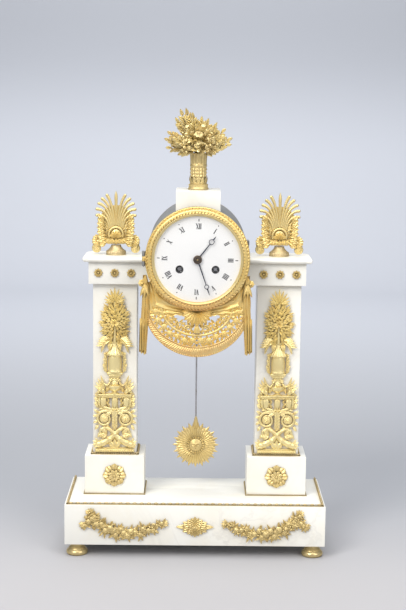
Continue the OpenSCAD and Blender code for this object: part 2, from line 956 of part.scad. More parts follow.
module apron() {
    rim_w = apron_r * 0.13;
    pierce_r = apron_r * 0.036;
    pierce_ring = apron_r - rim_w - 2 * pierce_r;
    rays = 9;
    color(ormolu)
        at_drum() {
            facing(drum_front - 3.6, drum_front - 2)
                difference() {
                    translate([0, -apron_drop])
                        circle(apron_r - 1);
                    circle(seat_r);
                    for (k = [-8:8])
                        translate([0, -apron_drop])
                            rotate(180 + k * 7.2)
                                translate([0, pierce_ring])
                                    circle(pierce_r, $fn = 24);
                }
            facing(drum_front - 4, drum_front - 0.5)
                difference() {
                    translate([0, -apron_drop])
                        ring(apron_r, apron_r - rim_w);
                    circle(seat_r);
                }
            facing(drum_front - 3, drum_front - 0.8)
                difference() {
                    for (k = [-rays:rays])
                        rotate(180 + k * 5)
                            translate([0, seat_r - 2])
                                leaf(17 - abs(k) * 0.9 + 8 * (1 - abs(k) / rays) * (abs(k) % 2), 3.4);
                    circle(seat_r);
                }
        }
}

// Hangs beside the apron's rim; x runs inwards from the rim's end
module drapery() {
    knot_r = 4.6;
    knot = [-2.5, -27];
    top = -18;
    bottom = top - drape_len;
    color(ormolu)
        at_drum()
            difference() {
                translate([-apron_r, 0, 0]) {
                    intersection() {
                        facing(drum_front - 6.5, drum_front)
                            polygon([[-0.6, top], [1.4, top], [3.6, -40], [6.2, -66], [5.6, bottom + 9],
                                [2, bottom + 2], [-2, bottom], [-6, bottom + 1], [-5.4, bottom + 34],
                                [-2.6, -52], [-1.6, -32]]);
                        union() {
                            for (fold = [-4.2, -0.6, 3, 6.4])
                                translate([fold, 4 - drum_front, bottom - 1])
                                    cylinder(h = drape_len + 4, r = 2.6, $fn = 32);
                            block([-7, 3 - drum_front, bottom - 1], [9, 6 - drum_front, 0]);
                        }
                    }
                    translate([knot[0], 0, knot[1]])
                        facing(drum_front - 6, drum_front + 0.1)
                            polygon(flower_points(knot_r, 6));
                }
                post([0, 0], drum_front - 10, drum_front + 2, seat_r);
                post([0, -apron_drop], drum_front - 10, drum_front + 2, apron_r + 0.2);
            }
}

module drapery_left() {
    drapery();
}

module drapery_right() {
    on_right()
        drapery();
}

module top_block() {
    color(marble)
        difference() {
            block([-block_w / 2, -block_front, drum_z], [block_w / 2, block_back, block_top]);
            drum_seat();
            translate([0, -block_mid, drum_z])
                cylinder(h = block_top - drum_z + 1, r = stud_r + 0.1);
        }
}

module flower_vase() {
    body_r = vase_foot_d * 0.378;
    stud_len = block_rise + 5;
    profile = [[0, 0], [vase_foot_d / 2, 0], [vase_foot_d / 2, 3], [vase_foot_d * 0.46, 3.6],
        [vase_foot_d * 0.46, 6], [body_r + 1, 7], [body_r, vase_h * 0.5], [body_r, vase_h * 0.64],
        [body_r + 0.9, vase_h * 0.66], [body_r + 0.9, vase_h * 0.7], [body_r, vase_h * 0.72],
        [body_r + 0.5, vase_h], [0, vase_h]];
    color(ormolu)
        translate([0, -block_mid, block_top]) {
            rotate_extrude()
                polygon(profile);
            translate([0, 0, -stud_len])
                cylinder(h = stud_len + 1, r = stud_r);
            translate([0, 0, -stud_len])
                cylinder(h = 3, r = stud_r * 1.8, $fn = 6);
        }
}

// Leaf in space: tilted from upright, then turned round the vase
module plume(tilt, turn, len, wid) {
    rotate([0, 0, turn])
        rotate([0, tilt, 0])
            rotate([90, 0, 55])
                linear_extrude(1.6)
                    translate([0, 2])
                        leaf(len, wid);
}

module bouquet() {
    core_r = vase_foot_d * 0.5;
    color(ormolu)
        translate([0, -block_mid, vase_top]) {
            rotate_extrude()
                polygon(concat([[0, 0], [vase_foot_d * 0.36, 0]],
                    arc(0, core_r * 0.7, core_r, core_r, -40, 90, 8)));
            translate([0, 0, core_r * 0.65]) {
                plume(-16, 0, bouquet_leaf, 8);
                plume(-25, 12, bouquet_leaf * 0.86, 8);
                plume(9, 20, bouquet_leaf * 0.8, 8);
                for (k = [0:6])
                    plume(38, k * 51 + 5, bouquet_leaf * 0.78, 9);
                for (k = [0:7])
                    plume(77, k * 45 + 10, bouquet_leaf * (0.78 + 0.14 * pow(cos(k * 45 + 10), 2)), 9);
                for (k = [0:7])
                    rotate([0, 0, k * 45 + 30])
                        rotate([0, 56 + 12 * (k % 3), 0])
                            translate([0, 0, core_r * 0.5])
                                cylinder(h = core_r * 1.1, r1 = 2, r2 = 5.4, $fn = 24);
            }
        }
}

// Movement

// Plate with the holes of the arbors that it carries
module movement_plate(back, front, holes) {
    difference() {
        post([0, 0], back, front, plate_d / 2);
        for (h = holes)
            post(h[0], back - 1, front + 1, h[1] + pivot_gap, $fn = 48);
    }
}

module front_plate() {
    color(brass)
        at_drum() {
            movement_plate(plate_in_front, plate_front, concat(
                [[[0, 0], centre_r], [third_at, pivot_r], [escape_at, pivot_r], [[0, anchor_rise], pivot_r],
                [strike_at, pivot_r], [hammer_at, pivot_r], [barrel_at, arbor_r - 0.5],
                [[-barrel_at[0], barrel_at[1]], arbor_r - 0.5]],
                [for (turn = [60, 180, 300]) [dial_foot_ring * [cos(turn), sin(turn)], dial_foot_r]]));
            post(minute_at, plate_front - 1, hour_wheel_plane + 2.1, 1, $fn = 48);
        }
}

module back_plate() {
    color(brass)
        at_drum()
            movement_plate(plate_back, plate_in_back,
                [[[0, 0], pivot_r], [third_at, pivot_r], [escape_at, pivot_r], [[0, anchor_rise], 1],
                [strike_at, pivot_r], [hammer_at, 1.5], [barrel_at, arbor_r - 1],
                [[-barrel_at[0], barrel_at[1]], arbor_r - 1]]);
}

module plate_pillars() {
    color(brass)
        at_drum()
            for (x = [-1, 1], at = [[0.261, 0.359], [0.174, -0.402]])
                post([x * plate_d * at[0], plate_d * at[1]], plate_in_back, plate_in_front, plate_d * 0.0326);
}

module movement_straps() {
    strap_w = 8;
    color(brass)
        at_drum()
            for (side = [-1, 1]) {
                block([side * strap_x - 1, flange_t - drum_front, -strap_w / 2],
                    [side * strap_x + 1, drum_back - 2 * flange_t, strap_w / 2]);
                block([min(side * strap_x, side * (plate_d / 2 - 4)), -plate_in_front, -strap_w / 2],
                    [max(side * strap_x, side * (plate_d / 2 - 4)), 1.5 - plate_in_front, strap_w / 2]);
            }
}

// Barrel with its great wheel and cover; the great wheel's plane decides where it lies
module barrel(at, plane, turn) {
    wheel_t = 2;
    wall = 1.2;
    bore = arbor_r + pivot_gap;
    translate([at[0], 0, at[1]])
        difference() {
            union() {
                facing(plane, plane + wheel_t)
                    rotate(turn)
                        polygon(gear_points(great_teeth, great_mod));
                post([0, 0], plane - barrel_len, plane + 0.5, barrel_d / 2);
            }
            post([0, 0], plane - barrel_len + wall, plane, barrel_d / 2 - wall);
            post([0, 0], plane - barrel_len - 1, plane + wheel_t + 1, bore, $fn = 64);
        }
}

// Winding arbor with its ratchet and square
module winding_arbor(at, plane) {
    square = 3.6;
    square_end = drum_front - 0.4;
    translate([at[0], 0, at[1]]) {
        post([0, 0], plane - barrel_len - 0.5, plane_top(plane), arbor_r);
        post([0, 0], plate_in_back + 0.3, plane, arbor_r - 0.5);
        post([0, 0], plate_back, plate_in_back + 1, arbor_r - 1);
        post([0, 0], plane, plate_front + 1, arbor_r - 0.5);
        facing(plate_front + 0.3, plate_front + 1.5)
            polygon(star_points(20, 6, 5));
        block([-square / 2, -square_end, -square / 2], [square / 2, -plate_front - 0.5, square / 2]);
    }
}

function plane_top(plane) = plane + 2.4;

// Mainspring wound against the barrel wall
module mainspring(at, plane) {
    turns = 6;
    steps = 20;
    strip = 0.7;
    inner = arbor_r + 1.2;
    outer = barrel_d / 2 - 1.6;
    path = [for (i = [0:turns * steps]) let (t = i / (turns * steps))
        [360 * turns * t, inner + (outer - inner) * t]];
    translate([at[0], 0, at[1]])
        facing(plane - barrel_len + 2, plane - 0.6)
            polygon(concat([for (p = path) p[1] * [cos(p[0]), sin(p[0])]],
                [for (i = [len(path) - 1:-1:0]) (path[i][1] - strip) * [cos(path[i][0]), sin(path[i][0])]]));
}

module going_barrel() {
    color(brass)
        at_drum()
            barrel(barrel_at, going_plane, facing_angle(barrel_at, [0, 0]));
}

module going_arbor() {
    color(steel)
        at_drum()
            winding_arbor(barrel_at, going_plane);
}

module going_mainspring() {
    color(steel)
        at_drum()
            mainspring(barrel_at, going_plane);
}

module strike_barrel() {
    color(brass)
        at_drum()
            barrel(strike_barrel_at, strike_plane, facing_angle(strike_barrel_at, strike_at));
}

module strike_arbor() {
    color(steel)
        at_drum()
            winding_arbor(strike_barrel_at, strike_plane);
}

module strike_mainspring() {
    color(steel)
        at_drum()
            mainspring(strike_barrel_at, strike_plane);
}

// Wheel with four crossings, drawn round its own arbor
module crossed_wheel(teeth, mod, turn, hub) {
    rim = teeth * mod / 2 - mod - 1.8;
    difference() {
        rotate(turn)
            polygon(gear_points(teeth, mod));
        circle(rim);
    }
    circle(hub);
    for (k = [0, 90])
        rotate(k)
            square([2 * rim + 1, 1.6], center = true);
}

// Arbor between the plates, with a pivot in each
module arbor(r) {
    post([0, 0], plate_in_back + 0.3, plate_in_front - 0.3, r, $fn = 48);
    post([0, 0], plate_back, plate_front, pivot_r, $fn = 48);
}

module centre_wheel() {
    color(brass)
        at_drum() {
            post([0, 0], plate_in_back + 0.3, plate_in_front - 0.3, 1.5, $fn = 48);
            post([0, 0], plate_back, plate_in_back + 1, pivot_r, $fn = 48);
            post([0, 0], plate_in_front - 1, minute_plane + hand_t + 0.9, centre_r, $fn = 48);
            facing(wheel_plane, wheel_plane + 1.5)
                crossed_wheel(centre_teeth, centre_mod, facing_angle([0, 0], third_at), 3.4);
            facing(going_plane - 0.2, going_plane + 2.2)
                rotate(gap_angle(barrel_at, [0, 0], great_pinion))
                    polygon(gear_points(great_pinion, great_mod));
        }
}

module third_wheel() {
    color(brass)
        at_drum()
            translate([third_at[0], 0, third_at[1]]) {
                arbor(0.95);
                facing(wheel_plane - 0.5, wheel_plane + 2)
                    rotate(gap_angle([0, 0], third_at, third_pinion))
                        polygon(gear_points(third_pinion, centre_mod));
                facing(third_plane, third_plane + 1.5)
                    crossed_wheel(third_teeth, third_mod, facing_angle(third_at, escape_at), 2.8);
            }
}

module escape_wheel() {
    color(brass)
        at_drum()
            translate([escape_at[0], 0, escape_at[1]]) {
                arbor(0.85);
                facing(third_plane - 0.5, third_plane + 2)
                    rotate(gap_angle(third_at, escape_at, escape_pinion))
                        polygon(gear_points(escape_pinion, third_mod));
                facing(escape_plane, escape_plane + 1) {
                    difference() {
                        polygon(star_points(30, escape_r, escape_r - 1.9));
                        circle(escape_r - 3.2);
                    }
                    circle(2.2);
                    for (k = [0, 90])
                        rotate(k)
                            square([2 * escape_r - 5.6, 1.2], center = true);
                }
            }
}

module anchor() {
    fork_drop = 40;
    fork_gap = pendulum_rod_d / 2 + 0.3;
    pallet = [10.2, 6.4 - escape_r];
    color(steel)
        at_drum()
            translate([0, 0, anchor_rise]) {
                post([0, 0], plate_in_back + 0.3, plate_in_front - 0.3, 1, $fn = 48);
                post([0, 0], plate_in_front - 1, plate_front, pivot_r, $fn = 48);
                post([0, 0], -4, plate_in_back + 1, 1, $fn = 48);
                facing(escape_plane, escape_plane + 1) {
                    circle(2.4, $fn = 48);
                    for (side = [-1, 1]) {
                        bar([0, 0], [side * pallet[0], pallet[1]], 2);
                        bar([side * pallet[0], pallet[1] + 1], [side * pallet[0], pallet[1] - 5], 1.6);
                    }
                }
                facing(-3, -1) {
                    circle(2.4, $fn = 48);
                    bar([0, 0], [0, -fork_drop], 2.4);
                    bar([-fork_gap - 1.2, -fork_drop], [fork_gap + 1.2, -fork_drop], 2.4);
                }
                for (side = [-1, 1])
                    block([side * (fork_gap + 0.6) - 0.6, 1, -fork_drop - 1.2],
                        [side * (fork_gap + 0.6) + 0.6, pendulum_back + 3, -fork_drop + 1.2]);
            }
}

module strike_wheel() {
    pin_ring = 6.6;
    color(brass)
        at_drum()
            translate([strike_at[0], 0, strike_at[1]]) {
                arbor(1.2);
                facing(strike_plane - 0.2, strike_plane + 2.2)
                    rotate(gap_angle(strike_barrel_at, strike_at, great_pinion))
                        polygon(gear_points(great_pinion, great_mod));
                facing(wheel_plane, wheel_plane + 1.5)
                    crossed_wheel(60, 0.3, 0, 2.6);
                for (turn = [0:45:315])
                    post(pin_ring * [cos(turn + 22), sin(turn + 22)], wheel_plane - 2.5, wheel_plane + 0.5,
                        0.5, $fn = 24);
            }
}

module hammer() {
    head = [-20.4, 25.6];
    to_head = head - hammer_at;
    to_pins = (strike_at - hammer_at) / norm(strike_at - hammer_at);
    color(steel)
        at_drum()
            translate([hammer_at[0], 0, hammer_at[1]]) {
                post([0, 0], plate_in_back + 0.3, plate_in_front - 0.3, 1.2, $fn = 48);
                post([0, 0], plate_in_front - 1, plate_front, pivot_r, $fn = 48);
                post([0, 0], -bell_mouth - 4, plate_in_back + 1, 1.5, $fn = 48);
                facing(wheel_plane - 2.5, wheel_plane - 0.7)
                    bar([0, 0], to_pins * 5, 1.8);
                facing(-bell_mouth - 4, -bell_mouth - 1) {
                    circle(3, $fn = 48);
                    bar([0, 0], to_head, 2.2);
                }
                post(to_head, -bell_mouth - 7, -bell_mouth + 1, 3);
            }
}

module bell() {
    wall = 1.4;
    crown = bell_mouth + bell_depth;
    flare = 2;
    seat = crown + 0.1;
    outer = concat([[bell_r, -bell_mouth], [bell_r, -bell_mouth - flare]],
        arc(0, -bell_mouth - flare, bell_r - 0.4, bell_depth - flare, 0, -80, 8));
    inner = concat(arc(0, -bell_mouth - flare, bell_r - 0.4 - wall, bell_depth - flare - wall, -80, 0, 8),
        [[bell_r - wall, -bell_mouth]]);
    at_drum() {
        color(brass)
            turned(concat(outer, [[1.7, -crown], [1.7, -crown + wall]], inner));
        color(steel) {
            post(bell_post_at, -seat - 3, plate_back, 2);
            facing(-seat - 3, -seat)
                bar(bell_post_at, [0, 0], 3.2);
            post([0, 0], -seat - 3, -seat, 4);
            post([0, 0], -seat - 1, -crown + 5, 1.5);
            post([0, 0], -crown + wall + 0.6, -crown + wall + 2.6, 3.4, $fn = 6);
        }
    }
}

module suspension_cock() {
    pin_r = 0.9;
    arm_low = anchor_rise + 3.5;
    cheek = 2;
    near = pendulum_back - 4;
    far = pendulum_back + 4;
    color(brass)
        at_drum() {
            block([-9, -plate_back, arm_low - 1.5], [9, -plate_back + 2, arm_low + 3]);
            block([-3.5, -plate_back, arm_low], [3.5, far, arm_low + 3]);
            for (y = [near, far - cheek])
                block([-3, y, anchor_rise - 3], [3, y + cheek, arm_low + 1]);
            post([0, anchor_rise], -far, -near, pin_r, $fn = 48);
        }
}

module pendulum_rod() {
    eye_r = 2.8;
    eye_half = 1.7;
    pin_r = 0.9;
    color(steel)
        difference() {
            union() {
                translate([0, 0, pivot_z])
                    post([0, 0], -pendulum_back - eye_half, -pendulum_back + eye_half, eye_r, $fn = 48);
                translate([0, pendulum_back, bob_z + bob_d * 0.34])
                    cylinder(h = pendulum_len - bob_d * 0.34 - eye_r + 0.8, d = pendulum_rod_d, $fn = 48);
            }
            translate([0, 0, pivot_z])
                post([0, 0], -pendulum_back - 3, -pendulum_back + 3, pin_r + pivot_gap, $fn = 48);
        }
}

module pendulum_bob() {
    half = 1.6;
    mid = -pendulum_back;
    tip = bob_d / 2;
    color(ormolu)
        translate([0, 0, bob_z])
            difference() {
                union() {
                    facing(mid - half, mid + half)
                        polygon(star_points(12, tip, tip * 0.62));
                    facing(mid - half, mid + half + 0.8)
                        rotate(15)
                            polygon(star_points(12, tip * 0.9, tip * 0.5));
                    facing(mid - half, mid + half + 1.8)
                        rotate(7.5)
                            polygon(star_points(24, tip * 0.66, tip * 0.5));
                    turned(concat([[0, mid], [tip * 0.34, mid]],
                        arc(0, mid + half + 1, tip * 0.34, 3.4, 0, 90, 6)));
                    translate([0, 0, tip * 0.6])
                        facing(mid - half - 0.6, mid + half + 0.6)
                            leaf(tip * 0.82, 8);
                }
                translate([0, pendulum_back, tip * 0.66])
                    cylinder(h = tip, d = pendulum_rod_d + 2 * push_gap, $fn = 48);
            }
}

module cannon_pinion() {
    color(brass)
        at_drum()
            difference() {
                union() {
                    facing(motion_plane, motion_plane + 1.7)
                        rotate(facing_angle([0, 0], minute_at))
                            polygon(gear_points(12, 0.5));
                    post([0, 0], motion_plane - 0.5, minute_plane + hand_t + 0.3, cannon_r, $fn = 48);
                }
                post([0, 0], motion_plane - 1, minute_plane + 3, centre_r + pivot_gap, $fn = 48);
            }
}

module minute_wheel() {
    color(brass)
        at_drum()
            translate([minute_at[0], 0, minute_at[1]])
                difference() {
                    union() {
                        facing(motion_plane, motion_plane + 1.7)
                            rotate(gap_angle([0, 0], minute_at, 36))
                                polygon(gear_points(36, 0.5));
                        facing(motion_plane + 1, hour_wheel_plane + 1.8)
                            rotate(facing_angle(minute_at, [0, 0]))
                                polygon(gear_points(10, 0.48));
                    }
                    post([0, 0], motion_plane - 1, hour_wheel_plane + 3, 1 + pivot_gap, $fn = 48);
                }
}

module hour_wheel() {
    color(brass)
        at_drum()
            difference() {
                union() {
                    facing(hour_wheel_plane, hour_wheel_plane + 1.7)
                        rotate(gap_angle(minute_at, [0, 0], 40))
                            polygon(gear_points(40, 0.48));
                    post([0, 0], hour_wheel_plane, hour_plane + hand_t + 0.1, hour_pipe_r, $fn = 48);
                }
                post([0, 0], hour_wheel_plane - 1, hour_plane + 3, cannon_r + pivot_gap, $fn = 48);
            }
}

in_frame() base_slab();
in_frame() feet();
in_frame() base_moulding();
in_frame() garland_left();
in_frame() garland_right();
in_frame() base_patera();
in_frame() plinth_left();
in_frame() plinth_right();
in_frame() pillar_mouldings();
in_frame() pillar_rosettes();
in_frame() shaft_left();
in_frame() shaft_right();
in_frame() trophy_left();
in_frame() trophy_right();
in_frame() frieze_left();
in_frame() frieze_right();
in_frame() cornice_left();
in_frame() cornice_right();
in_frame() palmette_left();
in_frame() palmette_right();
in_frame() palmette_stands();
in_frame() pillar_rods();
in_frame() drum_case();
in_frame() drum_bolts();
in_frame() bezel();
in_frame() bezel_glass();
in_frame() hinge_pins();
in_frame() dial();
in_frame() hour_hand();
in_frame() minute_hand();
in_frame() cannon_pinion();
in_frame() hour_wheel();
in_frame() minute_wheel();
in_frame() apron();
in_frame() drapery_left();
in_frame() drapery_right();
in_frame() top_block();
in_frame() flower_vase();
in_frame() bouquet();
in_frame() back_door();
in_frame() front_plate();
in_frame() back_plate();
in_frame() plate_pillars();
in_frame() movement_straps();
in_frame() going_barrel();
in_frame() going_arbor();
in_frame() going_mainspring();
in_frame() strike_barrel();
in_frame() strike_arbor();
in_frame() strike_mainspring();
in_frame() centre_wheel();
in_frame() third_wheel();
in_frame() escape_wheel();
in_frame() anchor();
in_frame() strike_wheel();
in_frame() hammer();
in_frame() bell();
in_frame() suspension_cock();
in_frame() pendulum_rod();
in_frame() pendulum_bob();
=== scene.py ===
"""Dresses the portico clock: marble, gilt mounts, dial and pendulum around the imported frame."""

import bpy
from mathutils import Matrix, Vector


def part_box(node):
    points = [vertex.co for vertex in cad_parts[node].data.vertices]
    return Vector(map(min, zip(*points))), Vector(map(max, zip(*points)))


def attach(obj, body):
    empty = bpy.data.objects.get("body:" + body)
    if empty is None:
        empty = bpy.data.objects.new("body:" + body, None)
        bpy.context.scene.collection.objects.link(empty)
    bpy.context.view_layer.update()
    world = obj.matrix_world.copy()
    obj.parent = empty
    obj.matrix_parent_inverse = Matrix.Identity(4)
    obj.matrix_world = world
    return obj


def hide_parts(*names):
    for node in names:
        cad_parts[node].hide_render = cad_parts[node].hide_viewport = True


bl_info = {
    "name": "Portico clock",
    "version": (1, 0, 0),
    "blender": (4, 5, 0),
    "location": "View3D > Sidebar > Clock",
    "description": "Builds the marble, gilt mounts, dial and pendulum of a portico clock around its frame",
    "category": "Object",
}

import random
from math import atan2, copysign, cos, degrees, exp, hypot, pi, radians, sin, tan

import bmesh
import bpy
from bpy.props import FloatProperty, FloatVectorProperty, IntProperty, PointerProperty
from bpy.types import Operator, Panel, PropertyGroup
from mathutils import Matrix, Vector

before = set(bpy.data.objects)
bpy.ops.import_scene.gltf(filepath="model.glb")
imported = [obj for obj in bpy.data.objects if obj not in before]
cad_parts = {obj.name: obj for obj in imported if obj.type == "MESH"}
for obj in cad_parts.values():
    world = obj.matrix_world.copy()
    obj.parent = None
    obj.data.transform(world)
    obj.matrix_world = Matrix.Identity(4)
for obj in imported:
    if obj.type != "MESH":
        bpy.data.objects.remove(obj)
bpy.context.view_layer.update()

MM = 0.001
TAU = 2 * pi
UP = Vector((0, 0, 1))
SIDES = ("left", "right")

MARBLE_NODES = ("base_slab", "plinth_left", "plinth_right", "shaft_left", "shaft_right", "frieze_left",
                "frieze_right", "cornice_left", "cornice_right", "top_block")
BRASS_NODES = ("hour_wheel", "minute_wheel", "front_plate", "back_plate", "plate_pillars", "movement_straps",
               "going_barrel", "strike_barrel", "centre_wheel", "third_wheel", "escape_wheel",
               "strike_wheel", "bell", "suspension_cock")
STEEL_NODES = ("pillar_rods", "drum_bolts", "hinge_pins", "going_mainspring", "going_arbor",
               "strike_mainspring", "strike_arbor", "anchor", "hammer", "pendulum_rod")


# Values that a user would change

def length(name, description, default):
    """Length property in metres, from a default in millimetres."""
    return FloatProperty(name=name, description=description, default=default * MM, min=0.0, precision=5,
                         unit="LENGTH")


def colour(name, description, default):
    """Colour property in linear light."""
    return FloatVectorProperty(name=name, description=description, default=default, size=3, min=0.0, max=1.0,
                               subtype="COLOR")


class ClockSizes(PropertyGroup):
    """Sizes of the fine work."""
    edge: length("Marble edge", "Softening of the marble's edges", 0.5)
    corner: length("Cornice corner", "Radius of the cornices' outer corners", 12.0)
    bead: length("Bead", "Diameter of the beads in the brass strips", 2.4)
    numeral: length("Numeral height", "Height of the Roman numerals", 5.9)
    numeral_ring: length("Numeral ring", "Radius of the middle of the numerals", 36.0)
    mark_ring: length("Hour mark ring", "Radius of the dots and bars outside the numerals", 42.8)
    rays: IntProperty(name="Rays", description="Long rays of the sunburst", default=20, min=8, max=32)
    blades: IntProperty(name="Palmette blades", description="Free blades on each side of a palmette",
                        default=5, min=3, max=7)


class ClockColours(PropertyGroup):
    """Colours of the finishes and of the stage."""
    marble: colour("Marble", "Ground of the white marble", (0.90, 0.89, 0.825))
    marble_warm: colour("Marble clouds", "Warm clouds in the marble", (0.85, 0.80, 0.67))
    # Painted shade beside the mounts: a warm darkening of the marble where their soft shadow falls.
    marble_mount_shade: colour("Marble stain", "Stain of the marble beside the mounts", (0.66, 0.55, 0.38))
    vein: colour("Veins", "Faint veins in the marble", (0.62, 0.60, 0.55))
    gold: colour("Gilding", "Bright gilding", (0.96, 0.82, 0.42))
    gold_worn: colour("Worn gilding", "Gilding that has thinned over the bronze", (0.85, 0.69, 0.33))
    gold_yellow: colour("Yellow gilding", "Gilding of apron, draperies and bezel", (0.88, 0.635, 0.215))
    gold_warm: colour("Warm gilding", "Deeper gilding of the vase and the base", (0.79, 0.63, 0.29))
    gold_bob: colour("Bob gilding", "Gilding of the pendulum bob", (0.74, 0.57, 0.24))
    gold_dull: colour("Dull gilding", "Deeper gilding where it has worn", (0.67, 0.53, 0.26))
    # Red gilding of the apron's rim, also used for the painted reflection of the apron at the foot of the
    # bezel.
    gold_red: colour("Red gilding", "Gilding of the apron's rim", (0.78, 0.49, 0.19))
    gold_bead: colour("Beading", "Old gilding of the beaded strips", (0.62, 0.50, 0.29))
    gold_bead_worn: colour("Worn beading", "Beaded strips where they have worn", (0.46, 0.36, 0.19))
    # Brown of the recesses in the gilding: old dirt, and painted shade.
    recess: colour("Recesses", "Old dirt and bronze in the recesses", (0.27, 0.205, 0.09))
    brass: colour("Brass", "Movement brass", (0.78, 0.57, 0.25))
    steel: colour("Steel", "Bright steel", (0.50, 0.50, 0.52))
    tarnish: colour("Tarnish", "Tarnished patches of the steel", (0.28, 0.24, 0.20))
    blued: colour("Blued steel", "Heat-blued hands", (0.035, 0.04, 0.06))
    hub: colour("Hub", "Dark bronze of the hands' hub", (0.05, 0.036, 0.027))
    hub_light: colour("Hub wear", "Lighter bronze of the hub", (0.15, 0.11, 0.08))
    paint: colour("Drum paint", "Grey paint of the drum", (0.25, 0.255, 0.25))
    paint_worn: colour("Worn paint", "Iron that shows through the drum's paint", (0.16, 0.14, 0.12))
    enamel: colour("Enamel", "White dial enamel", (0.95, 0.95, 0.94))
    enamel_haze: colour("Enamel haze", "Haze and crazing of the enamel", (0.72, 0.70, 0.64))
    ink: colour("Numerals", "Fired black of the numerals", (0.02, 0.02, 0.025))
    ink_faded: colour("Faded numerals", "Numerals where they have faded", (0.16, 0.16, 0.17))
    glass: colour("Glass", "Faint tint of the dial glass", (0.20, 0.21, 0.21))
    floor: colour("Floor", "Pale studio floor", (0.465, 0.46, 0.474))
    wall: colour("Backdrop", "Blue-grey studio backdrop", (0.575, 0.593, 0.633))


def sizes():
    return bpy.context.scene.clock_sizes


def colours():
    return bpy.context.scene.clock_colours


def mm(value):
    return value / MM


def shade(tint, factor):
    return tuple(factor * q for q in tint)


# Shapes, in millimetres

LEAST_LEAF = 0.12


def lance(t):
    """Half width of a pointed leaf along its length."""
    return 2.38 * t ** 0.5 * (1 - t) ** 0.8


def petal(t):
    """Half width of a round petal."""
    return 1.77 * t ** 0.6 * (1 - t) ** 0.3


def lobe(t):
    """Half width of a leaf that is widest past its middle, with a round end."""
    return min(1, 1.5 * t ** 0.8) * min(1, (1 - t) / 0.3) ** 0.5


def ray(t):
    """Half width of a sun ray: broad, then a short point."""
    return (0.4 + 0.6 * min(1, 2 * t)) * min(1, (1 - t) / 0.45) ** 0.9


def blade(t):
    """Half width of a palmette blade: slim, with a rounded end."""
    return (0.55 + 0.45 * t * t) * min(1, 6 * (1 - t)) ** 0.5


def shares(steps):
    """Shares from 0 to 1 in even steps."""
    return [i / steps for i in range(steps + 1)]


def turns_of(count):
    """Angles that divide the circle, in radians."""
    return [TAU * k / count for k in range(count)]


def moved(x, y, z):
    return Matrix.Translation((x, y, z))


def turned(angle, axis="Z"):
    """Turn round an axis, in degrees."""
    return Matrix.Rotation(radians(angle), 4, axis)


def flat(x, y, out=0.0, turn=0.0):
    """Place on a mount's own face: x to the right, y up, out to the viewer, turned clockwise from up."""
    return moved(x, y, out) @ turned(-turn)


def aim(at, direction, facing):
    """Place whose Y runs along a direction and whose Z leans towards the facing vector."""
    along = Vector(direction).normalized()
    out = Vector(facing) - along * along.dot(Vector(facing))
    if out.length < 0.05:
        out = Vector((0, -1, 0)) - along * -along.y
    out.normalize()
    across = along.cross(out)
    return Matrix.Translation(at) @ Matrix((across, along, out)).transposed().to_4x4()


def upright(x=0.0, y=0.0, out=0.0):
    """Place on a mount's face whose lathe axis runs up the face."""
    return flat(x, y, out) @ turned(-90, "X")


def squashed(place, x=1.0, y=1.0):
    return place @ Matrix.Diagonal((x, y, 1, 1))


def arc_points(centre, radius, start, end, steps, out=0.0):
    """Points on a circle from one angle to another, in degrees."""
    turns = [radians(start + (end - start) * t) for t in shares(steps)]
    return [(centre[0] + radius * cos(a), centre[1] + radius * sin(a), out) for a in turns]


def curve_points(controls, steps):
    """Points on a smooth curve through the controls."""
    knots = [Vector(p) for p in controls]
    points = []
    for i in range(len(knots) - 1):
        a, b, c, d = knots[max(i - 1, 0)], knots[i], knots[i + 1], knots[min(i + 2, len(knots) - 1)]
        for t in shares(steps)[:-1]:
            points.append(0.5 * (2 * b + (c - a) * t + (2 * a - 5 * b + 4 * c - d) * t * t
                                 + (3 * b - a - 3 * c + d) * t ** 3))
    return points + [knots[-1]]


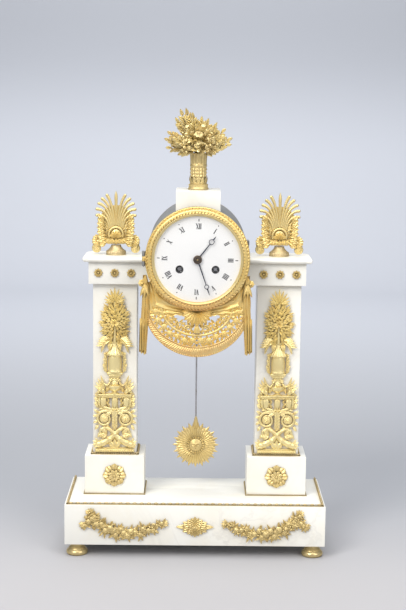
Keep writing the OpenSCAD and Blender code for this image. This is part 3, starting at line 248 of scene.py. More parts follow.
class Form:
    """Corners and faces of one piece, in millimetres."""

    def __init__(self):
        self.points = []
        self.faces = []

    def loft(self, rings, place=Matrix(), closed=False, caps=True):
        """Skins a row of rings of equal counts; caps close both ends unless the row closes on itself."""
        first, count, rows = len(self.points), len(rings[0]), len(rings)
        self.points += [place @ Vector(p) for ring in rings for p in ring]
        for i in range(rows if closed else rows - 1):
            low, high = first + i * count, first + (i + 1) % rows * count
            for k in range(count):
                after = (k + 1) % count
                self.faces.append((low + k, low + after, high + after, high + k))
        if caps and not closed:
            last = first + (rows - 1) * count
            self.faces += [tuple(range(first, first + count)), tuple(range(last, last + count))]

    def leaf(self, place, length, width, bend=0.0, arch=1.0, tip=0.0, shape=lance, thick=0.7, groove=0.45,
             steps=6):
        """Leaf that grows along the place's Y, faces its Z and bends sideways by some degrees."""
        rings, at = [], Vector((0, 0, 0))
        for t in shares(steps):
            turn = radians(bend * t)
            along = Vector((sin(turn), cos(turn), 0))
            across = Vector((along.y, -along.x, 0)) * max(width / 2 * shape(t), LEAST_LEAF)
            belly = UP * thick * (0.3 + 0.7 * min(1, shape(t)))
            mid = at + UP * (arch * sin(pi * 0.9 * t) + tip * t * t)
            rings.append([mid - across, mid - across * 0.5 + belly, mid + belly * groove,
                          mid + across * 0.5 + belly, mid + across, mid - belly * 0.6])
            at += along * (length / steps)
        self.loft(rings, place)

    def whorl(self, place, count, radius, length, width, first=0.0, **look):
        """Ring of leaves that grow outwards from a radius; first is the turn of the first one."""
        for k in range(count):
            spot = place @ flat(0, 0, 0, first + 360 * k / count) @ flat(0, radius)
            self.leaf(spot, length, width, **look)

    def ball(self, place, radius, squash=1.0, sides=8, rows=5):
        turns = [radians(-78 + 156 * t) for t in shares(rows - 1)]
        self.lathe([(radius * cos(a), radius * squash * sin(a)) for a in turns], place, sides)

    def lathe(self, profile, place=Matrix(), steps=48, ring=False, shape=None):
        """Turns points of radius and height round the place's Z; ring joins the last point to the first."""
        rings = []
        for radius, height in profile:
            radii = [shape(radius, height, a) if shape else radius for a in turns_of(steps)]
            rings.append([(r * cos(a), r * sin(a), height) for r, a in zip(radii, turns_of(steps))])
        self.loft(rings, place, ring)

    def tube(self, path, radius, place=Matrix(), sides=8, squash=1.0, lobes=0, twists=0.0, depth=0.2,
             closed=False):
        """Rod along a path, round or twisted from lobes; the radius may be a function of the share."""
        path = [Vector(p).to_3d() for p in path]
        rings, count = [], len(path)
        for i, point in enumerate(path):
            t = i / (count if closed else count - 1)
            before = path[i - 1] if i or closed else point
            after = path[(i + 1) % count] if i < count - 1 or closed else point
            along = (after - before).normalized()
            out = UP - along * along.z
            if out.length < 0.1:
                out = Vector((1, 0, 0)) - along * along.x
            out.normalize()
            across = along.cross(out)
            wide = radius(t) if callable(radius) else radius
            ring = []
            for a in turns_of(sides):
                r = wide * (1 + depth * cos(lobes * a - TAU * twists * t)) if lobes else wide
                ring.append(point + across * r * cos(a) + out * r * squash * sin(a))
            rings.append(ring)
        self.loft(rings, place, closed)

    def slab(self, low, high, place=Matrix(), chamfer=0.35):
        """Plate with chamfered front edges."""
        def ring(inset, out):
            left, right, foot, head = low[0] + inset, high[0] - inset, low[1] + inset, high[1] - inset
            return [(left, foot, out), (right, foot, out), (right, head, out), (left, head, out)]
        self.loft([ring(0, low[2]), ring(0, high[2] - chamfer), ring(chamfer, high[2])], place)

    def panel(self, surface, across, down, thick, place=Matrix()):
        """Closed sheet from a function of two shares from 0 to 1."""
        rings = []
        for v in shares(down):
            front = [Vector(surface(u, v)) for u in shares(across)]
            rings.append(front + [p - UP * thick for p in reversed(front)])
        first, count = len(self.points), 2 * across + 2
        self.loft(rings, place, caps=False)
        for row in (first, first + down * count):
            last = row + count - 1
            self.faces += [(row + i, row + i + 1, last - 1 - i, last - i) for i in range(across)]

    def beads(self, start, end, radius, step):
        """Row of beads between two points."""
        start, end = Vector(start), Vector(end)
        count = max(1, round((end - start).length / step))
        for i in range(count):
            self.ball(Matrix.Translation(start.lerp(end, (i + 0.5) / count)), radius)

    def bloom(self, place, radius, petals=6, tiers=2, cup=0.25, heart=0.28):
        """Open flower: rings of petals round a seeded heart."""
        for tier in range(tiers):
            reach = radius * (1 - 0.34 * tier)
            self.whorl(place @ flat(0, 0, 0.16 * radius * tier), petals, reach * 0.12, reach * 0.9,
                       reach * 5.4 / petals, 180 * tier / petals, arch=cup * radius, tip=-0.06 * radius,
                       shape=petal, thick=radius * 0.12, groove=0.35, steps=4)
        core, seeds = place @ flat(0, 0, radius * (0.2 + 0.12 * tiers)), radius * heart
        self.ball(core, seeds, 0.7)
        for a in turns_of(6):
            spot = core @ flat(seeds * cos(a), seeds * sin(a), -0.02 * radius)
            self.ball(spot, seeds * 0.36, sides=6, rows=4)

    def volute(self, place, outer, inner, turns, thick, hand=1, start=90.0):
        """Scroll that winds inwards from a start angle, clockwise for hand 1."""
        path = []
        for t in shares(int(turns * 20)):
            a = radians(start) - hand * TAU * turns * t
            r = outer + (inner - outer) * t ** 0.8
            path.append((r * cos(a), r * sin(a), 0.4 * thick * t))
        self.tube(path, lambda t: thick * (1 - 0.45 * t), place, squash=0.9)
        self.ball(place @ flat(*path[-1]), thick * 1.25)


# Finishes

class Wire:
    """A socket that takes part in sums."""

    def __init__(self, finish, socket):
        self.finish = finish
        self.socket = socket

    def math(self, operation, *values):
        return self.finish.node("ShaderNodeMath", {"operation": operation}, dict(enumerate(values)))

    def __add__(self, other):
        return self.math("ADD", self, other)

    def __sub__(self, other):
        return self.math("SUBTRACT", self, other)

    def __rsub__(self, other):
        return self.math("SUBTRACT", other, self)

    def __mul__(self, other):
        return self.math("MULTIPLY", self, other)

    def __abs__(self):
        return self.math("ABSOLUTE", self)

    __radd__ = __add__
    __rmul__ = __mul__

    def clamped(self):
        return self.finish.node("ShaderNodeClamp", {}, {"Value": self})

    def between(self, low, high):
        """Rises smoothly from 0 at low to 1 at high."""
        return self.finish.node("ShaderNodeMapRange", {"interpolation_type": "SMOOTHSTEP"},
                                {"Value": self, "From Min": low, "From Max": high})


class Finish:
    """The node tree of one material."""

    def __init__(self, name, **constants):
        self.material = bpy.data.materials.new(name)
        self.material.use_nodes = True
        self.tree = self.material.node_tree
        self.shader = self.tree.nodes["Principled BSDF"]
        self.set(**constants)
        self.where = self.node("ShaderNodeTexCoord", output="Object")

    def node(self, kind, settings=None, inputs=None, output=0):
        """Adds a node, sets its settings first and its sockets second, and hands back one output."""
        node = self.tree.nodes.new(kind)
        for key, value in (settings or {}).items():
            setattr(node, key, value)
        for key, value in (inputs or {}).items():
            self.feed(node.inputs[key], value)
        return Wire(self, node.outputs[output])

    def feed(self, socket, value):
        if isinstance(value, Wire):
            self.tree.links.new(value.socket, socket)
        elif socket.type == "RGBA":
            socket.default_value = (*value, 1)
        else:
            socket.default_value = value

    def set(self, **sockets):
        for key, value in sockets.items():
            self.feed(self.shader.inputs[key.replace("_", " ").title().replace("Ior", "IOR")], value)

    def mix(self, factor, a, b):
        """Colour between a and b."""
        return self.node("ShaderNodeMix", {"data_type": "RGBA"}, {0: factor, 6: a, 7: b}, 2)

    def along(self, axis):
        return self.node("ShaderNodeSeparateXYZ", {}, {0: self.where}, axis)

    def noise(self, scale, detail=3.0, roughness=0.5, distortion=0.0, where=None):
        return self.node("ShaderNodeTexNoise", {}, {
            "Vector": where or self.where, "Scale": scale, "Detail": detail, "Roughness": roughness,
            "Distortion": distortion})

    def brushed(self, *scales):
        """Noise drawn out along the axis with the smallest scale."""
        where = self.node("ShaderNodeVectorMath", {"operation": "MULTIPLY"}, {0: self.where, 1: scales})
        return self.noise(1.0, 2.0, where=where)

    def cells(self, scale, feature="F1"):
        sockets = {"Vector": self.where, "Scale": scale}
        return self.node("ShaderNodeTexVoronoi", {"feature": feature}, sockets)

    def recess(self, distance):
        """0 on open ground, towards 1 in the recesses."""
        return 1 - self.node("ShaderNodeAmbientOcclusion", {"samples": 8}, {"Distance": distance * MM}, "AO")

    def bump(self, height, strength, depth):
        sockets = {"Height": height, "Strength": strength, "Distance": depth * MM}
        self.set(normal=self.node("ShaderNodeBump", {}, sockets))


def marble():
    c = colours()
    f = Finish("white_marble", ior=1.5, coat_weight=0.15, coat_roughness=0.2)
    clouds = f.noise(16, 5, 0.6, 0.6).between(0.42, 0.72)
    line = abs(f.noise(7, 8, 0.62, 1.6) - 0.5)
    vein = 1 - line.between(0.0, 0.035)
    fine = f.noise(420, 2)
    # Painted shade: the marble is warmer and darker beside the mounts, from the occlusion that they cause.
    mount_shade = f.recess(7).between(0.25, 0.75)
    ground = f.mix(clouds * 0.55, c.marble, c.marble_warm)
    veined = f.mix(vein * f.noise(5, 2).between(0.45, 0.7) * 0.3, ground, c.vein)
    f.set(base_color=f.mix(mount_shade * 0.45, veined, c.marble_mount_shade),
          roughness=0.3 + 0.14 * fine + 0.12 * clouds)
    f.bump(fine + 0.6 * f.noise(90, 3), 0.12, 0.25)
    return f.material


GILT_SHEEN = (1.0, 0.93, 0.75)
# Height over the foot of the bezel where the painted reflection of the apron ends, and the height it fades
# over, in metres
REFLECTION_TOP = 0.03
REFLECTION_FADE = 0.035


def gilding(name, bright, worn, rough=0.34, matting=0.5, grain=850.0, dirt_and_shade=1.0, apron_reflection=False):
    """Maker of a gilt bronze: bright on the ridges, worn in patches, brown in the recesses from old dirt and
    painted shade, matted by fine punches; when asked, it is redder towards the foot of the bezel, a painted
    reflection of the apron."""
    def make():
        c = colours()
        f = Finish(name, specular_tint=GILT_SHEEN)
        patches = f.noise(55, 4, 0.6).between(0.38, 0.68)
        speckle = f.noise(850, 3, 0.6)
        # Occlusion mask: the recesses go brown, partly from old dirt and partly as painted shade.
        near, wide = f.recess(2.2), f.recess(7.0)
        grime_and_shade = ((near * 0.9 + wide * 0.4) * (0.55 + 0.9 * speckle) * dirt_and_shade).between(0.36, 1.0)
        tone = f.mix((patches * 0.65 + speckle * 0.35).clamped(), getattr(c, bright), getattr(c, worn))
        # Painted reflection of the apron: the gilding turns red towards the foot of the bezel.
        if apron_reflection:
            top = box("bezel")[0].z * MM + REFLECTION_TOP
            tone = f.mix(1 - f.along("Z").between(top - REFLECTION_FADE, top), tone, c.gold_red)
        f.set(base_color=f.mix(grime_and_shade, tone, c.recess), metallic=0.72 - 0.4 * grime_and_shade,
              roughness=(rough + 0.16 * speckle + 0.1 * patches + 0.25 * grime_and_shade).clamped())
        f.bump(f.cells(grain) * 0.8 + speckle * 0.6, matting, 0.22)
        return f.material
    return make


ormolu = gilding("ormolu_chased", "gold_bob", "gold_dull")
ormolu_vase = gilding("ormolu_vase", "gold_warm", "gold_dull", matting=0.85, grain=600.0, dirt_and_shade=1.35)
ormolu_deep = gilding("ormolu_deep", "gold_warm", "gold_dull", dirt_and_shade=1.1)
ormolu_bright = gilding("ormolu_burnished", "gold_dull", "gold_dull", 0.2, 0.08, 500.0, 0.8)
ormolu_aged = gilding("ormolu_aged", "gold", "gold_dull", matting=0.65, dirt_and_shade=1.05)
ormolu_fine = gilding("ormolu_fine", "gold", "gold_worn", matting=0.65, dirt_and_shade=0.65)
ormolu_palmette = gilding("ormolu_palmette", "gold_worn", "gold_warm", matting=0.65, dirt_and_shade=0.65)
ormolu_yellow = gilding("ormolu_yellow", "gold_yellow", "gold_worn", matting=0.65, dirt_and_shade=0.9)
ormolu_bezel = gilding("ormolu_bezel", "gold_yellow", "gold_worn", 0.3, 0.6, dirt_and_shade=0.5, apron_reflection=True)
ormolu_clean = gilding("ormolu_clean", "gold_worn", "gold_worn", 0.3, 0.2, dirt_and_shade=0.1, apron_reflection=True)
ormolu_red = gilding("ormolu_red", "gold_red", "gold_worn", 0.3, grain=900.0, dirt_and_shade=0.8)
old_gilding = gilding("ormolu_beading", "gold_bead", "gold_bead_worn", 0.4)


def brass():
    c = colours()
    f = Finish("movement_brass", metallic=1.0)
    cloud = f.noise(80, 4, 0.6)
    brushed = f.brushed(1800.0, 120.0, 1800.0)
    f.set(base_color=f.mix(cloud.between(0.35, 0.75), c.brass, shade(c.brass, 0.72)),
          roughness=0.22 + 0.2 * brushed + 0.1 * cloud)
    f.bump(brushed, 0.12, 0.05)
    return f.material


def steel():
    c = colours()
    f = Finish("drawn_steel", metallic=1.0)
    drawn = f.brushed(1600.0, 1600.0, 60.0)
    tarnish = f.noise(140, 4, 0.65).between(0.45, 0.75)
    f.set(base_color=f.mix(tarnish * 0.6, c.steel, c.tarnish), roughness=0.25 + 0.2 * drawn + 0.2 * tarnish)
    f.bump(drawn, 0.1, 0.04)
    return f.material


def blued_steel():
    c = colours()
    f = Finish("blued_steel", metallic=0.6, specular_ior_level=0.3)
    cloud = f.noise(260, 3)
    f.set(base_color=f.mix(cloud, c.blued, shade(c.blued, 1.9)), roughness=0.25 + 0.2 * cloud)
    return f.material


def hub_bronze():
    c = colours()
    f = Finish("hub_bronze", metallic=0.8)
    cloud = f.noise(900, 3)
    f.set(base_color=f.mix(cloud, c.hub, c.hub_light), roughness=0.35 + 0.2 * cloud)
    f.bump(cloud, 0.3, 0.08)
    return f.material


def drum_paint():
    c = colours()
    f = Finish("drum_paint")
    cloud = f.noise(38, 5, 0.65)
    # Darker iron colour in noisy patches, and more of it towards the recesses, where the occlusion term adds
    # it.
    worn = (f.noise(160, 6, 0.7) + 0.25 * f.recess(4)).between(0.62, 0.78)
    fine = f.noise(700, 2)
    f.set(base_color=f.mix(worn, f.mix(cloud, c.paint, shade(c.paint, 0.7)), c.paint_worn),
          roughness=0.42 + 0.16 * fine + 0.1 * cloud, metallic=0.35 * worn)
    f.bump(fine * 0.5 + cloud, 0.15, 0.15)
    return f.material


def enamel():
    c = colours()
    f = Finish("white_enamel", coat_weight=0.8, coat_roughness=0.04, ior=1.5)
    haze = f.noise(60, 4, 0.6)
    crazing = 1 - f.cells(260, "DISTANCE_TO_EDGE").between(0.0, 0.012)
    f.set(base_color=f.mix(crazing * 0.05 + 0.06 * haze, c.enamel, c.enamel_haze),
          roughness=0.12 + 0.08 * haze)
    f.bump(haze, 0.05, 0.2)
    return f.material


def dial_black():
    c = colours()
    f = Finish("fired_black", coat_weight=0.5)
    fade = f.noise(900, 3)
    f.set(base_color=f.mix(fade.between(0.5, 0.85) * 0.5, c.ink, c.ink_faded), roughness=0.25 + 0.2 * fade)
    return f.material


def clear_glass():
    f = Finish("convex_glass", base_color=colours().glass, alpha=0.04, ior=1.45)
    f.set(roughness=0.03 + 0.05 * f.noise(300, 4))
    return f.material


FINISHES = {}


def finish(maker):
    """The material of a maker function, made once."""
    if maker not in FINISHES:
        FINISHES[maker] = maker()
    return FINISHES[maker]


# Putting pieces into the scene

def box(node):
    """Lowest and highest corner of a frame node, in millimetres."""
    low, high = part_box(node)
    return low / MM, high / MM


def middle_of(node):
    low, high = box(node)
    return (low + high) / 2


def front_of(x, y, z):
    """Matrix of a mount's face that looks to the front: its own x, up and out."""
    return moved(x, y, z) @ turned(90, "X")


def drum_front():
    """Mount face round the drum's axis, in the plane y = 0."""
    return front_of(0, 0, middle_of("bezel_glass").z)


def add_piece(name, mesh, material, body, nodes):
    mesh.materials.clear()
    mesh.materials.append(finish(material))
    piece = bpy.data.objects.new(name, mesh)
    bpy.context.scene.collection.objects.link(piece)
    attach(piece, body)
    if nodes:
        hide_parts(*nodes)
    return piece


def add_form(name, form, material, place=Matrix(), nodes=(), body="case", mirror=False,
             crease=50):
    """Turns a form into a piece that rides on a body, in place of some frame nodes."""
    if mirror:
        place = Matrix.Diagonal((-1, 1, 1, 1)) @ place
    mesh = bpy.data.meshes.new(name)
    mesh.from_pydata([(place @ p) * MM for p in form.points], [], form.faces)
    shell = bmesh.new()
    shell.from_mesh(mesh)
    bmesh.ops.recalc_face_normals(shell, faces=shell.faces)
    shell.to_mesh(mesh)
    shell.free()
    mesh.shade_smooth()
    mesh.set_sharp_from_angle(angle=radians(crease))
    add_piece(name, mesh, material, body, nodes)


def add_sided(name, side, form, material, place, node):
    """A form at the left side, or its mirror image at the right."""
    add_form(name + side, form, material, place, (node + side,), mirror=side == "right")


def round_corners(shell, radius):
    """Turns the outer upright corners of a block at one side of the clock into quarter rounds."""
    side = 1 if max(v.co.x for v in shell.verts) > -min(v.co.x for v in shell.verts) else -1
    out = max(side * v.co.x for v in shell.verts) - radius
    deep = max(v.co.y for v in shell.verts) - radius
    for k in range(6):
        reach = radius * tan(radians(7.5 * k))
        for spot, across in (((side * (out + reach), 0, 0), (1, 0, 0)), ((0, deep + reach, 0), (0, 1, 0)),
                             ((0, -deep - reach, 0), (0, 1, 0))):
            whole = shell.verts[:] + shell.edges[:] + shell.faces[:]
            bmesh.ops.bisect_plane(shell, geom=whole, plane_co=spot, plane_no=across)
    for v in shell.verts:
        u, w = side * v.co.x - out, abs(v.co.y) - deep
        if u > 0 and w > 0:
            pull = max(u, w) / hypot(u, w)
            v.co.x = side * (out + u * pull)
            v.co.y = copysign(deep + w * pull, v.co.y)


def add_softened(name, node, material, width, body="case", corner=0):
    """Copy of a frame node with its sharp edges rounded, and its outer corners where a radius is given."""
    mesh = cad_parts[node].data.copy()
    mesh.name = name
    shell = bmesh.new()
    shell.from_mesh(mesh)
    bmesh.ops.remove_doubles(shell, verts=shell.verts, dist=1e-6)
    bmesh.ops.dissolve_limit(shell, angle_limit=radians(0.5), verts=shell.verts, edges=shell.edges)
    if corner:
        round_corners(shell, corner)
    shell.to_mesh(mesh)
    shell.free()
    mesh.shade_smooth()
    bevel = add_piece(name, mesh, material, body, (node,)).modifiers.new("Soft edges", "BEVEL")
    bevel.width = width
    bevel.segments = 2
    bevel.limit_method = "ANGLE"
    bevel.angle_limit = radians(40)
    bevel.harden_normals = True


def paint_node(node, material):
    """Gives a carried-over frame node its finish."""
    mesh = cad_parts[node].data
    mesh.materials.clear()
    mesh.materials.append(finish(material))


# Base and pillars

class CLOCK_OT_marble(Operator):
    """Marble blocks of the base, the pillars and the drum's top, with softened edges"""
    bl_idname = "clock.marble"
    bl_label = "Marble"

    def execute(self, context):
        for node in MARBLE_NODES:
            corner = sizes().corner if "cornice" in node else 0
            add_softened("marble_" + node, node, marble, sizes().edge, corner=corner)
        return {"FINISHED"}


class CLOCK_OT_feet(Operator):
    """Four turned bun feet"""
    bl_idname = "clock.feet"
    bl_label = "Feet"

    def execute(self, context):
        low, high = box("feet")
        height, radius = high.z, 12.0
        form = Form()
        profile = [(0.05, 0.0), (10.2, 0.0), (11.4, 0.7), (radius, 2.2), (radius, 3.4), (11.5, 4.8),
                   (10.4, 5.9), (9.4, 6.5), (9.0, 7.1), (9.2, 7.7), (8.6, 8.4), (7.3, 9.4), (6.6, 10.5),
                   (6.6, 11.5), (7.2, 12.0), (8.3, 12.3), (8.6, 13.0), (8.5, height), (0.05, height)]
        for x in (low.x + radius, high.x - radius):
            for y in (low.y + radius, high.y - radius):
                form.lathe(profile, moved(x, y, 0), 56)
        add_form("turned_feet", form, ormolu_bright, nodes=("feet",))
        return {"FINISHED"}


def beaded_run(form, corners, bead, reels=False, ground=0.7):
    """Strip along level corners: round beads, or long beads between pairs of reels, on a thin ground."""
    corners = [Vector(p) for p in corners]
    edge = bead * 0.56
    for a, b in zip(corners, corners[1:]):
        run = (b - a).normalized()
        count = max(1, round((b - a).length / (bead * (3.3 if reels else 1.08))))
        step = (b - a).length / count
        for i in range(count):
            spot = aim(a + run * step * (i + 0.5) + UP * (ground + bead * 0.4), run, UP)
            if reels:
                form.ball(squashed(spot, y=2.2), bead * 0.5, rows=7)
                for shift in (-0.5, -0.38, 0.38, 0.5):
                    form.ball(squashed(spot @ flat(0, shift * step), y=0.3), bead * 0.44)
            else:
                form.ball(spot, bead / 2)
        side, rise = run.cross(UP) * edge, UP * ground
        form.loft([[p - side, p + side, p + side * 0.85 + rise, p - side * 0.85 + rise]
                   for p in (a - run * edge, b + run * edge)])


def level_corners(node, out):
    """Corners round the foot of a node, from its left front, moved outwards."""
    low, high = box(node)
    left, right, front, back = low.x - out, high.x + out, low.y - out, high.y + out
    return [(left, front, low.z), (right, front, low.z), (right, back, low.z), (left, back, low.z)]


class CLOCK_OT_beading(Operator):
    """Beaded strips on the base and round the feet of plinths and shafts"""
    bl_idname = "clock.beading"
    bl_label = "Beading"

    def execute(self, context):
        bead = mm(sizes().bead)
        low, high = box("base_moulding")
        form = Form()
        outline = level_corners("base_moulding", (low.z - high.z) / 2)
        beaded_run(form, outline[3:] + outline[:3], bead, reels=True)
        add_form("base_beading", form, old_gilding, nodes=("base_moulding",))
        form = Form()
        for block, size in (("plinth_", 0.55 * bead), ("shaft_", bead)):
            for side in SIDES:
                outline = level_corners(block + side, size * 0.6)
                beaded_run(form, outline + outline[:1], size, ground=0.23 * size)
        add_form("pillar_beading", form, old_gilding, nodes=("pillar_mouldings",))
        return {"FINISHED"}


def garland(chance):
    """Swag of flowers, leaves and berries on the left half of the base, from its box's lower left corner."""
    low, high = box("garland_left")
    wide, tall = high.x - low.x, high.z - low.z
    inner, dip, outer = (Vector((wide * 0.90, tall * 0.55)), Vector((wide * 0.33, -tall * 0.2)),
                         Vector((wide * 0.07, tall * 0.86)))
    form = Form()

    def tuft(at, swell, heading):
        for k in range(7):
            turn = heading + 51 * k + chance.uniform(-22, 22)
            root = flat(at.x + chance.uniform(-1.5, 1.5), at.y + chance.uniform(-1.2, 1.2), 0.4)
            form.leaf(root @ flat(0, 0, 0, turn), swell * 1.3 + 2.6, 2.6, chance.uniform(-25, 25), 1.6,
                      chance.uniform(0, 1.6), groove=0.2)
        spot = flat(at.x + chance.uniform(-1, 1), at.y + chance.uniform(-1, 1), chance.uniform(1.4, 3.0),
                    chance.uniform(0, 90))
        form.bloom(spot, swell * chance.uniform(0.62, 0.85), chance.choice((5, 6)), 2, 0.35)
        for _ in range(3):
            spot = flat(at.x + chance.uniform(-swell, swell), at.y + chance.uniform(-swell, swell),
                        chance.uniform(1.8, 3.4))
            form.ball(spot, chance.uniform(0.9, 1.3))

    for i, t in enumerate(shares(20)):
        at = inner * (1 - t) ** 2 + dip * 2 * t * (1 - t) + outer * t * t
        along = (inner * (t - 1) + dip * (1 - 2 * t) + outer * t).normalized()
        swell = 2.8 + 2.4 * sin(pi * t) ** 0.7
        aside = Vector((along.y, -along.x)) * swell * (0, 0.55, -0.5)[i % 3]
        tuft(at + aside, swell, degrees(atan2(along.x, along.y)))
    for x, y, swell in ((3.5, 21.5, 4.0), (8.5, 25.0, 3.6), (0.5, 18.0, 3.0), (11.5, 19.5, 3.6)):
        tuft(Vector((x, y)), swell, 20)
    for turn in (-50, -25, 0, 25):
        form.leaf(flat(outer.x, outer.y, 0.8, turn), 7.0, 3, arch=1.2)
        form.leaf(flat(inner.x, inner.y, 0.8, 80 + turn), 7.5, 3, arch=1.2)
        form.leaf(flat(1.5, 19, 0.8, -112 + turn), 8.5, 3.4, arch=1.2)
    return form, front_of(low.x, box("base_slab")[0].y, low.z)


class CLOCK_OT_base_mounts(Operator):
    """Garlands and leaf patera on the front of the base"""
    bl_idname = "clock.base_mounts"
    bl_label = "Base mounts"

    def execute(self, context):
        for side, seed in zip(SIDES, (11, 23)):
            form, place = garland(random.Random(seed))
            add_sided("flower_garland_", side, form, ormolu_deep, place, "garland_")
        low, high = box("base_patera")
        half, rise, power = (high.x - low.x) / 2, (high.z - low.z) / 2, 1.2
        form = Form()
        for tier, share in enumerate((1.0, 0.8, 0.6, 0.42)):
            for k in range(16):
                turn = 22.5 * (k + 0.5 * (tier % 2))
                a = radians(turn)
                across, up = abs(sin(a)) / half, abs(cos(a)) / rise
                reach = share / (across ** power + up ** power) ** (1 / power)
                form.leaf(flat(0, 0, 0.2 + 0.8 * tier, turn) @ flat(0, reach * 0.25), reach * 0.75,
                          5.6 - 0.7 * tier, arch=1.2, tip=0.7, thick=0.9, groove=0.1)
        form.bloom(flat(0, 0, 2.8), 4.4, 8, 2, 0.3)
        place = front_of(0, box("base_slab")[0].y, (low.z + high.z) / 2)
        add_form("leaf_patera", form, ormolu_deep, place, ("base_patera",))
        return {"FINISHED"}


class CLOCK_OT_rosettes(Operator):
    """Rosettes of the plinths and friezes"""
    bl_idname = "clock.rosettes"
    bl_label = "Rosettes"

    def execute(self, context):
        form = Form()
        step = 18.3
        for side in SIDES:
            plinth, frieze = middle_of("plinth_" + side), middle_of("frieze_" + side)
            spot = front_of(plinth.x, box("plinth_" + side)[0].y, plinth.z)
            form.lathe([(0.05, 0), (8.4, 0), (8.6, 0.5), (8.0, 1.0), (0.05, 1.0)], spot, 40)
            form.whorl(spot @ flat(0, 0, 0.7), 8, 3.6, 9.8, 7.6, arch=2.0, tip=-0.8, shape=petal, thick=1.3,
                       groove=0.15)
            form.whorl(spot @ flat(0, 0, 0.4), 8, 6, 6.4, 2.6, 22.5, arch=0.6)
            form.whorl(spot @ flat(0, 0, 2.4), 8, 1, 6.6, 4.6, 22.5, arch=1.4, tip=0.4, thick=0.9)
            form.bloom(spot @ flat(0, 0, 3.0), 4.2, 8, 1, 0.25, 0.36)
            for k in (-1, 0, 1):
                spot = front_of(plinth.x + step * k, box("frieze_" + side)[0].y, frieze.z)
                form.lathe([(0.05, 0), (2.4, 0), (2.4, 0.6), (0.05, 0.7)], spot, 24)
                form.whorl(spot @ flat(0, 0, 0.5), 9, 1.2, 3.9, 2.5, arch=1.1, tip=-0.3, shape=petal,
                           groove=0.1, steps=4)
                form.ball(spot @ flat(0, 0, 1.2), 1.1, 0.8, 10)
        add_form("gilt_rosettes", form, ormolu_deep, nodes=("pillar_rosettes",))
        return {"FINISHED"}


def mirrored(form, draw):
    """Draws a part of a mount on its right half and again on its left."""
    for side in (1, -1):
        half = Form()
        draw(half)
        flip = Matrix.Diagonal((side, 1, 1, 1))
        first = len(form.points)
        form.points += [flip @ p for p in half.points]
        form.faces += [tuple(first + k for k in face) for face in half.faces]


def altar_columns(form, places):
    """Slim columns of the trophy's altar."""
    for x in places:
        form.tube([(x, 49.5, 1.6), (x, 64.2, 1.6)], 1.2)


def trophy_lower(half):
    """Right half of the crossed horns, the scrolls, the altar and the bird on it."""
    horn = curve_points([(-17, 21.5), (-15.5, 25.5), (-10.5, 28.0), (-5, 25.5), (0, 20.8), (4.5, 16),
                         (10.5, 11.8), (17.5, 8.8)], 5)
    half.tube(horn, lambda t: 1.1 + 2.7 * t ** 1.2, flat(0, 0, 2.8), 12, 0.8, 5, 6, 0.14)
    half.ball(flat(18.0, 8.8, 2.8), 4.0, 0.8, 12, 7)
    for turn in (150, 185, 220):
        half.leaf(flat(16.6, 22.5, 2.2, turn), 6.5, 2.8, 20, 0.8, 0.6)
    for turn, reach in ((10, 9.0), (40, 8), (75, 6.5), (110, 6)):
        half.leaf(flat(18.6, 8.5, 3.2, turn), reach, 3.4, 30, 1.2, 1.2)
    for turn, reach, bend in ((20, 11, 60), (52, 10, -50), (85, 8, 40), (118, 7, 30)):
        half.leaf(flat(9, 20, 1.4, turn), reach, 4.0, bend, 1.2, 1.2)
    half.leaf(flat(4, 25, 1.8, 50), 11, 3.2, -60, 1.0, 0.8)
    scroll = [(0.6, 43.0, 2.0), (2.2, 46.6, 2.2), (6.4, 48.4, 2.4)]
    for t in shares(30):
        a = radians(98 - 520 * t)
        r = 9.4 - 5.4 * t ** 0.8
        scroll.append((11.6 + r * cos(a), 38.2 + r * sin(a), 2.4))
    half.tube(scroll, lambda t: 1.7 - 0.7 * t)
    half.bloom(flat(11.6, 38.2, 2.2, 12), 4.6, 6, 2, 0.3)
    for turn, reach in ((55, 14), (80, 17), (108, 12)):
        half.leaf(flat(1.5, 46.5, 2.2, turn), reach, 3.6, 24, 1.4, 0.6)
    for level, turn, bend in ((45, 40, 30), (41, 70, 40), (36, 105, 30), (31, 140, 20)):
        half.leaf(flat(18.6, level, 1.6, turn), 6.5, 3.4, bend, 1.0, 1.0)
    altar_columns(half, (10.8, 13.0, 15.2))
    half.leaf(flat(13.0, 64.0, 2.8, 180), 13, 6.0, 0, 0.8, 0.4)
    half.leaf(flat(17.2, 64.5, 1.8, 176), 14, 3.4, 16, 1.0, 0.4)
    for k in range(5):
        half.leaf(flat(18.2, 51 + 2.8 * k, 1.2, 40 + 12 * (k % 2)), 6.0, 3.2, 20, 1.2, 0.8)
        half.leaf(flat(7.6, 51 + 2.8 * k, 1.0, 18 * (1 if k % 2 else -1)), 5.0, 2.6, 20, 0.8, 0.4)
    half.slab((9.2, 48.6, 0), (17.4, 50.4, 3.2))
    half.ball(squashed(flat(13.6, 71.0, 3.0, 20), x=0.8, y=1.5), 3.2, 0.8, 12, 7)
    half.ball(flat(18.4, 69.2, 3.2), 1.9, 0.9)
    half.leaf(flat(19.4, 68.6, 3.2, 120), 3.2, 1.6, 0, 0.3, 0.0)
    for k, turn in enumerate((8, 20, 32, 44)):
        x, y = 12.2 + 0.7 * k, 72.5 - 0.9 * k
        half.leaf(flat(x, y, 2.0 + 0.5 * k, turn), 16.5 - 1.8 * k, 3.2, 12, 1.4, 0.8)
        half.leaf(flat(x + 0.4, y - 0.5, 3.6 + 0.3 * k, turn - 6), 8.5 - k, 3.0, 10, 1.0, 0.6)
    for k in range(4):
        half.leaf(flat(9.4 - 0.6 * k, 69 + 1.4 * k, 1.2, -12 - 14 * k), 7.5, 3.0, 20, 1.0, 0.6)
    for t in shares(8):
        half.ball(flat(3.4 + 9.8 * t, 84.5 - 4.0 * t - 5.4 * sin(pi * t), 3.2), 1.3)


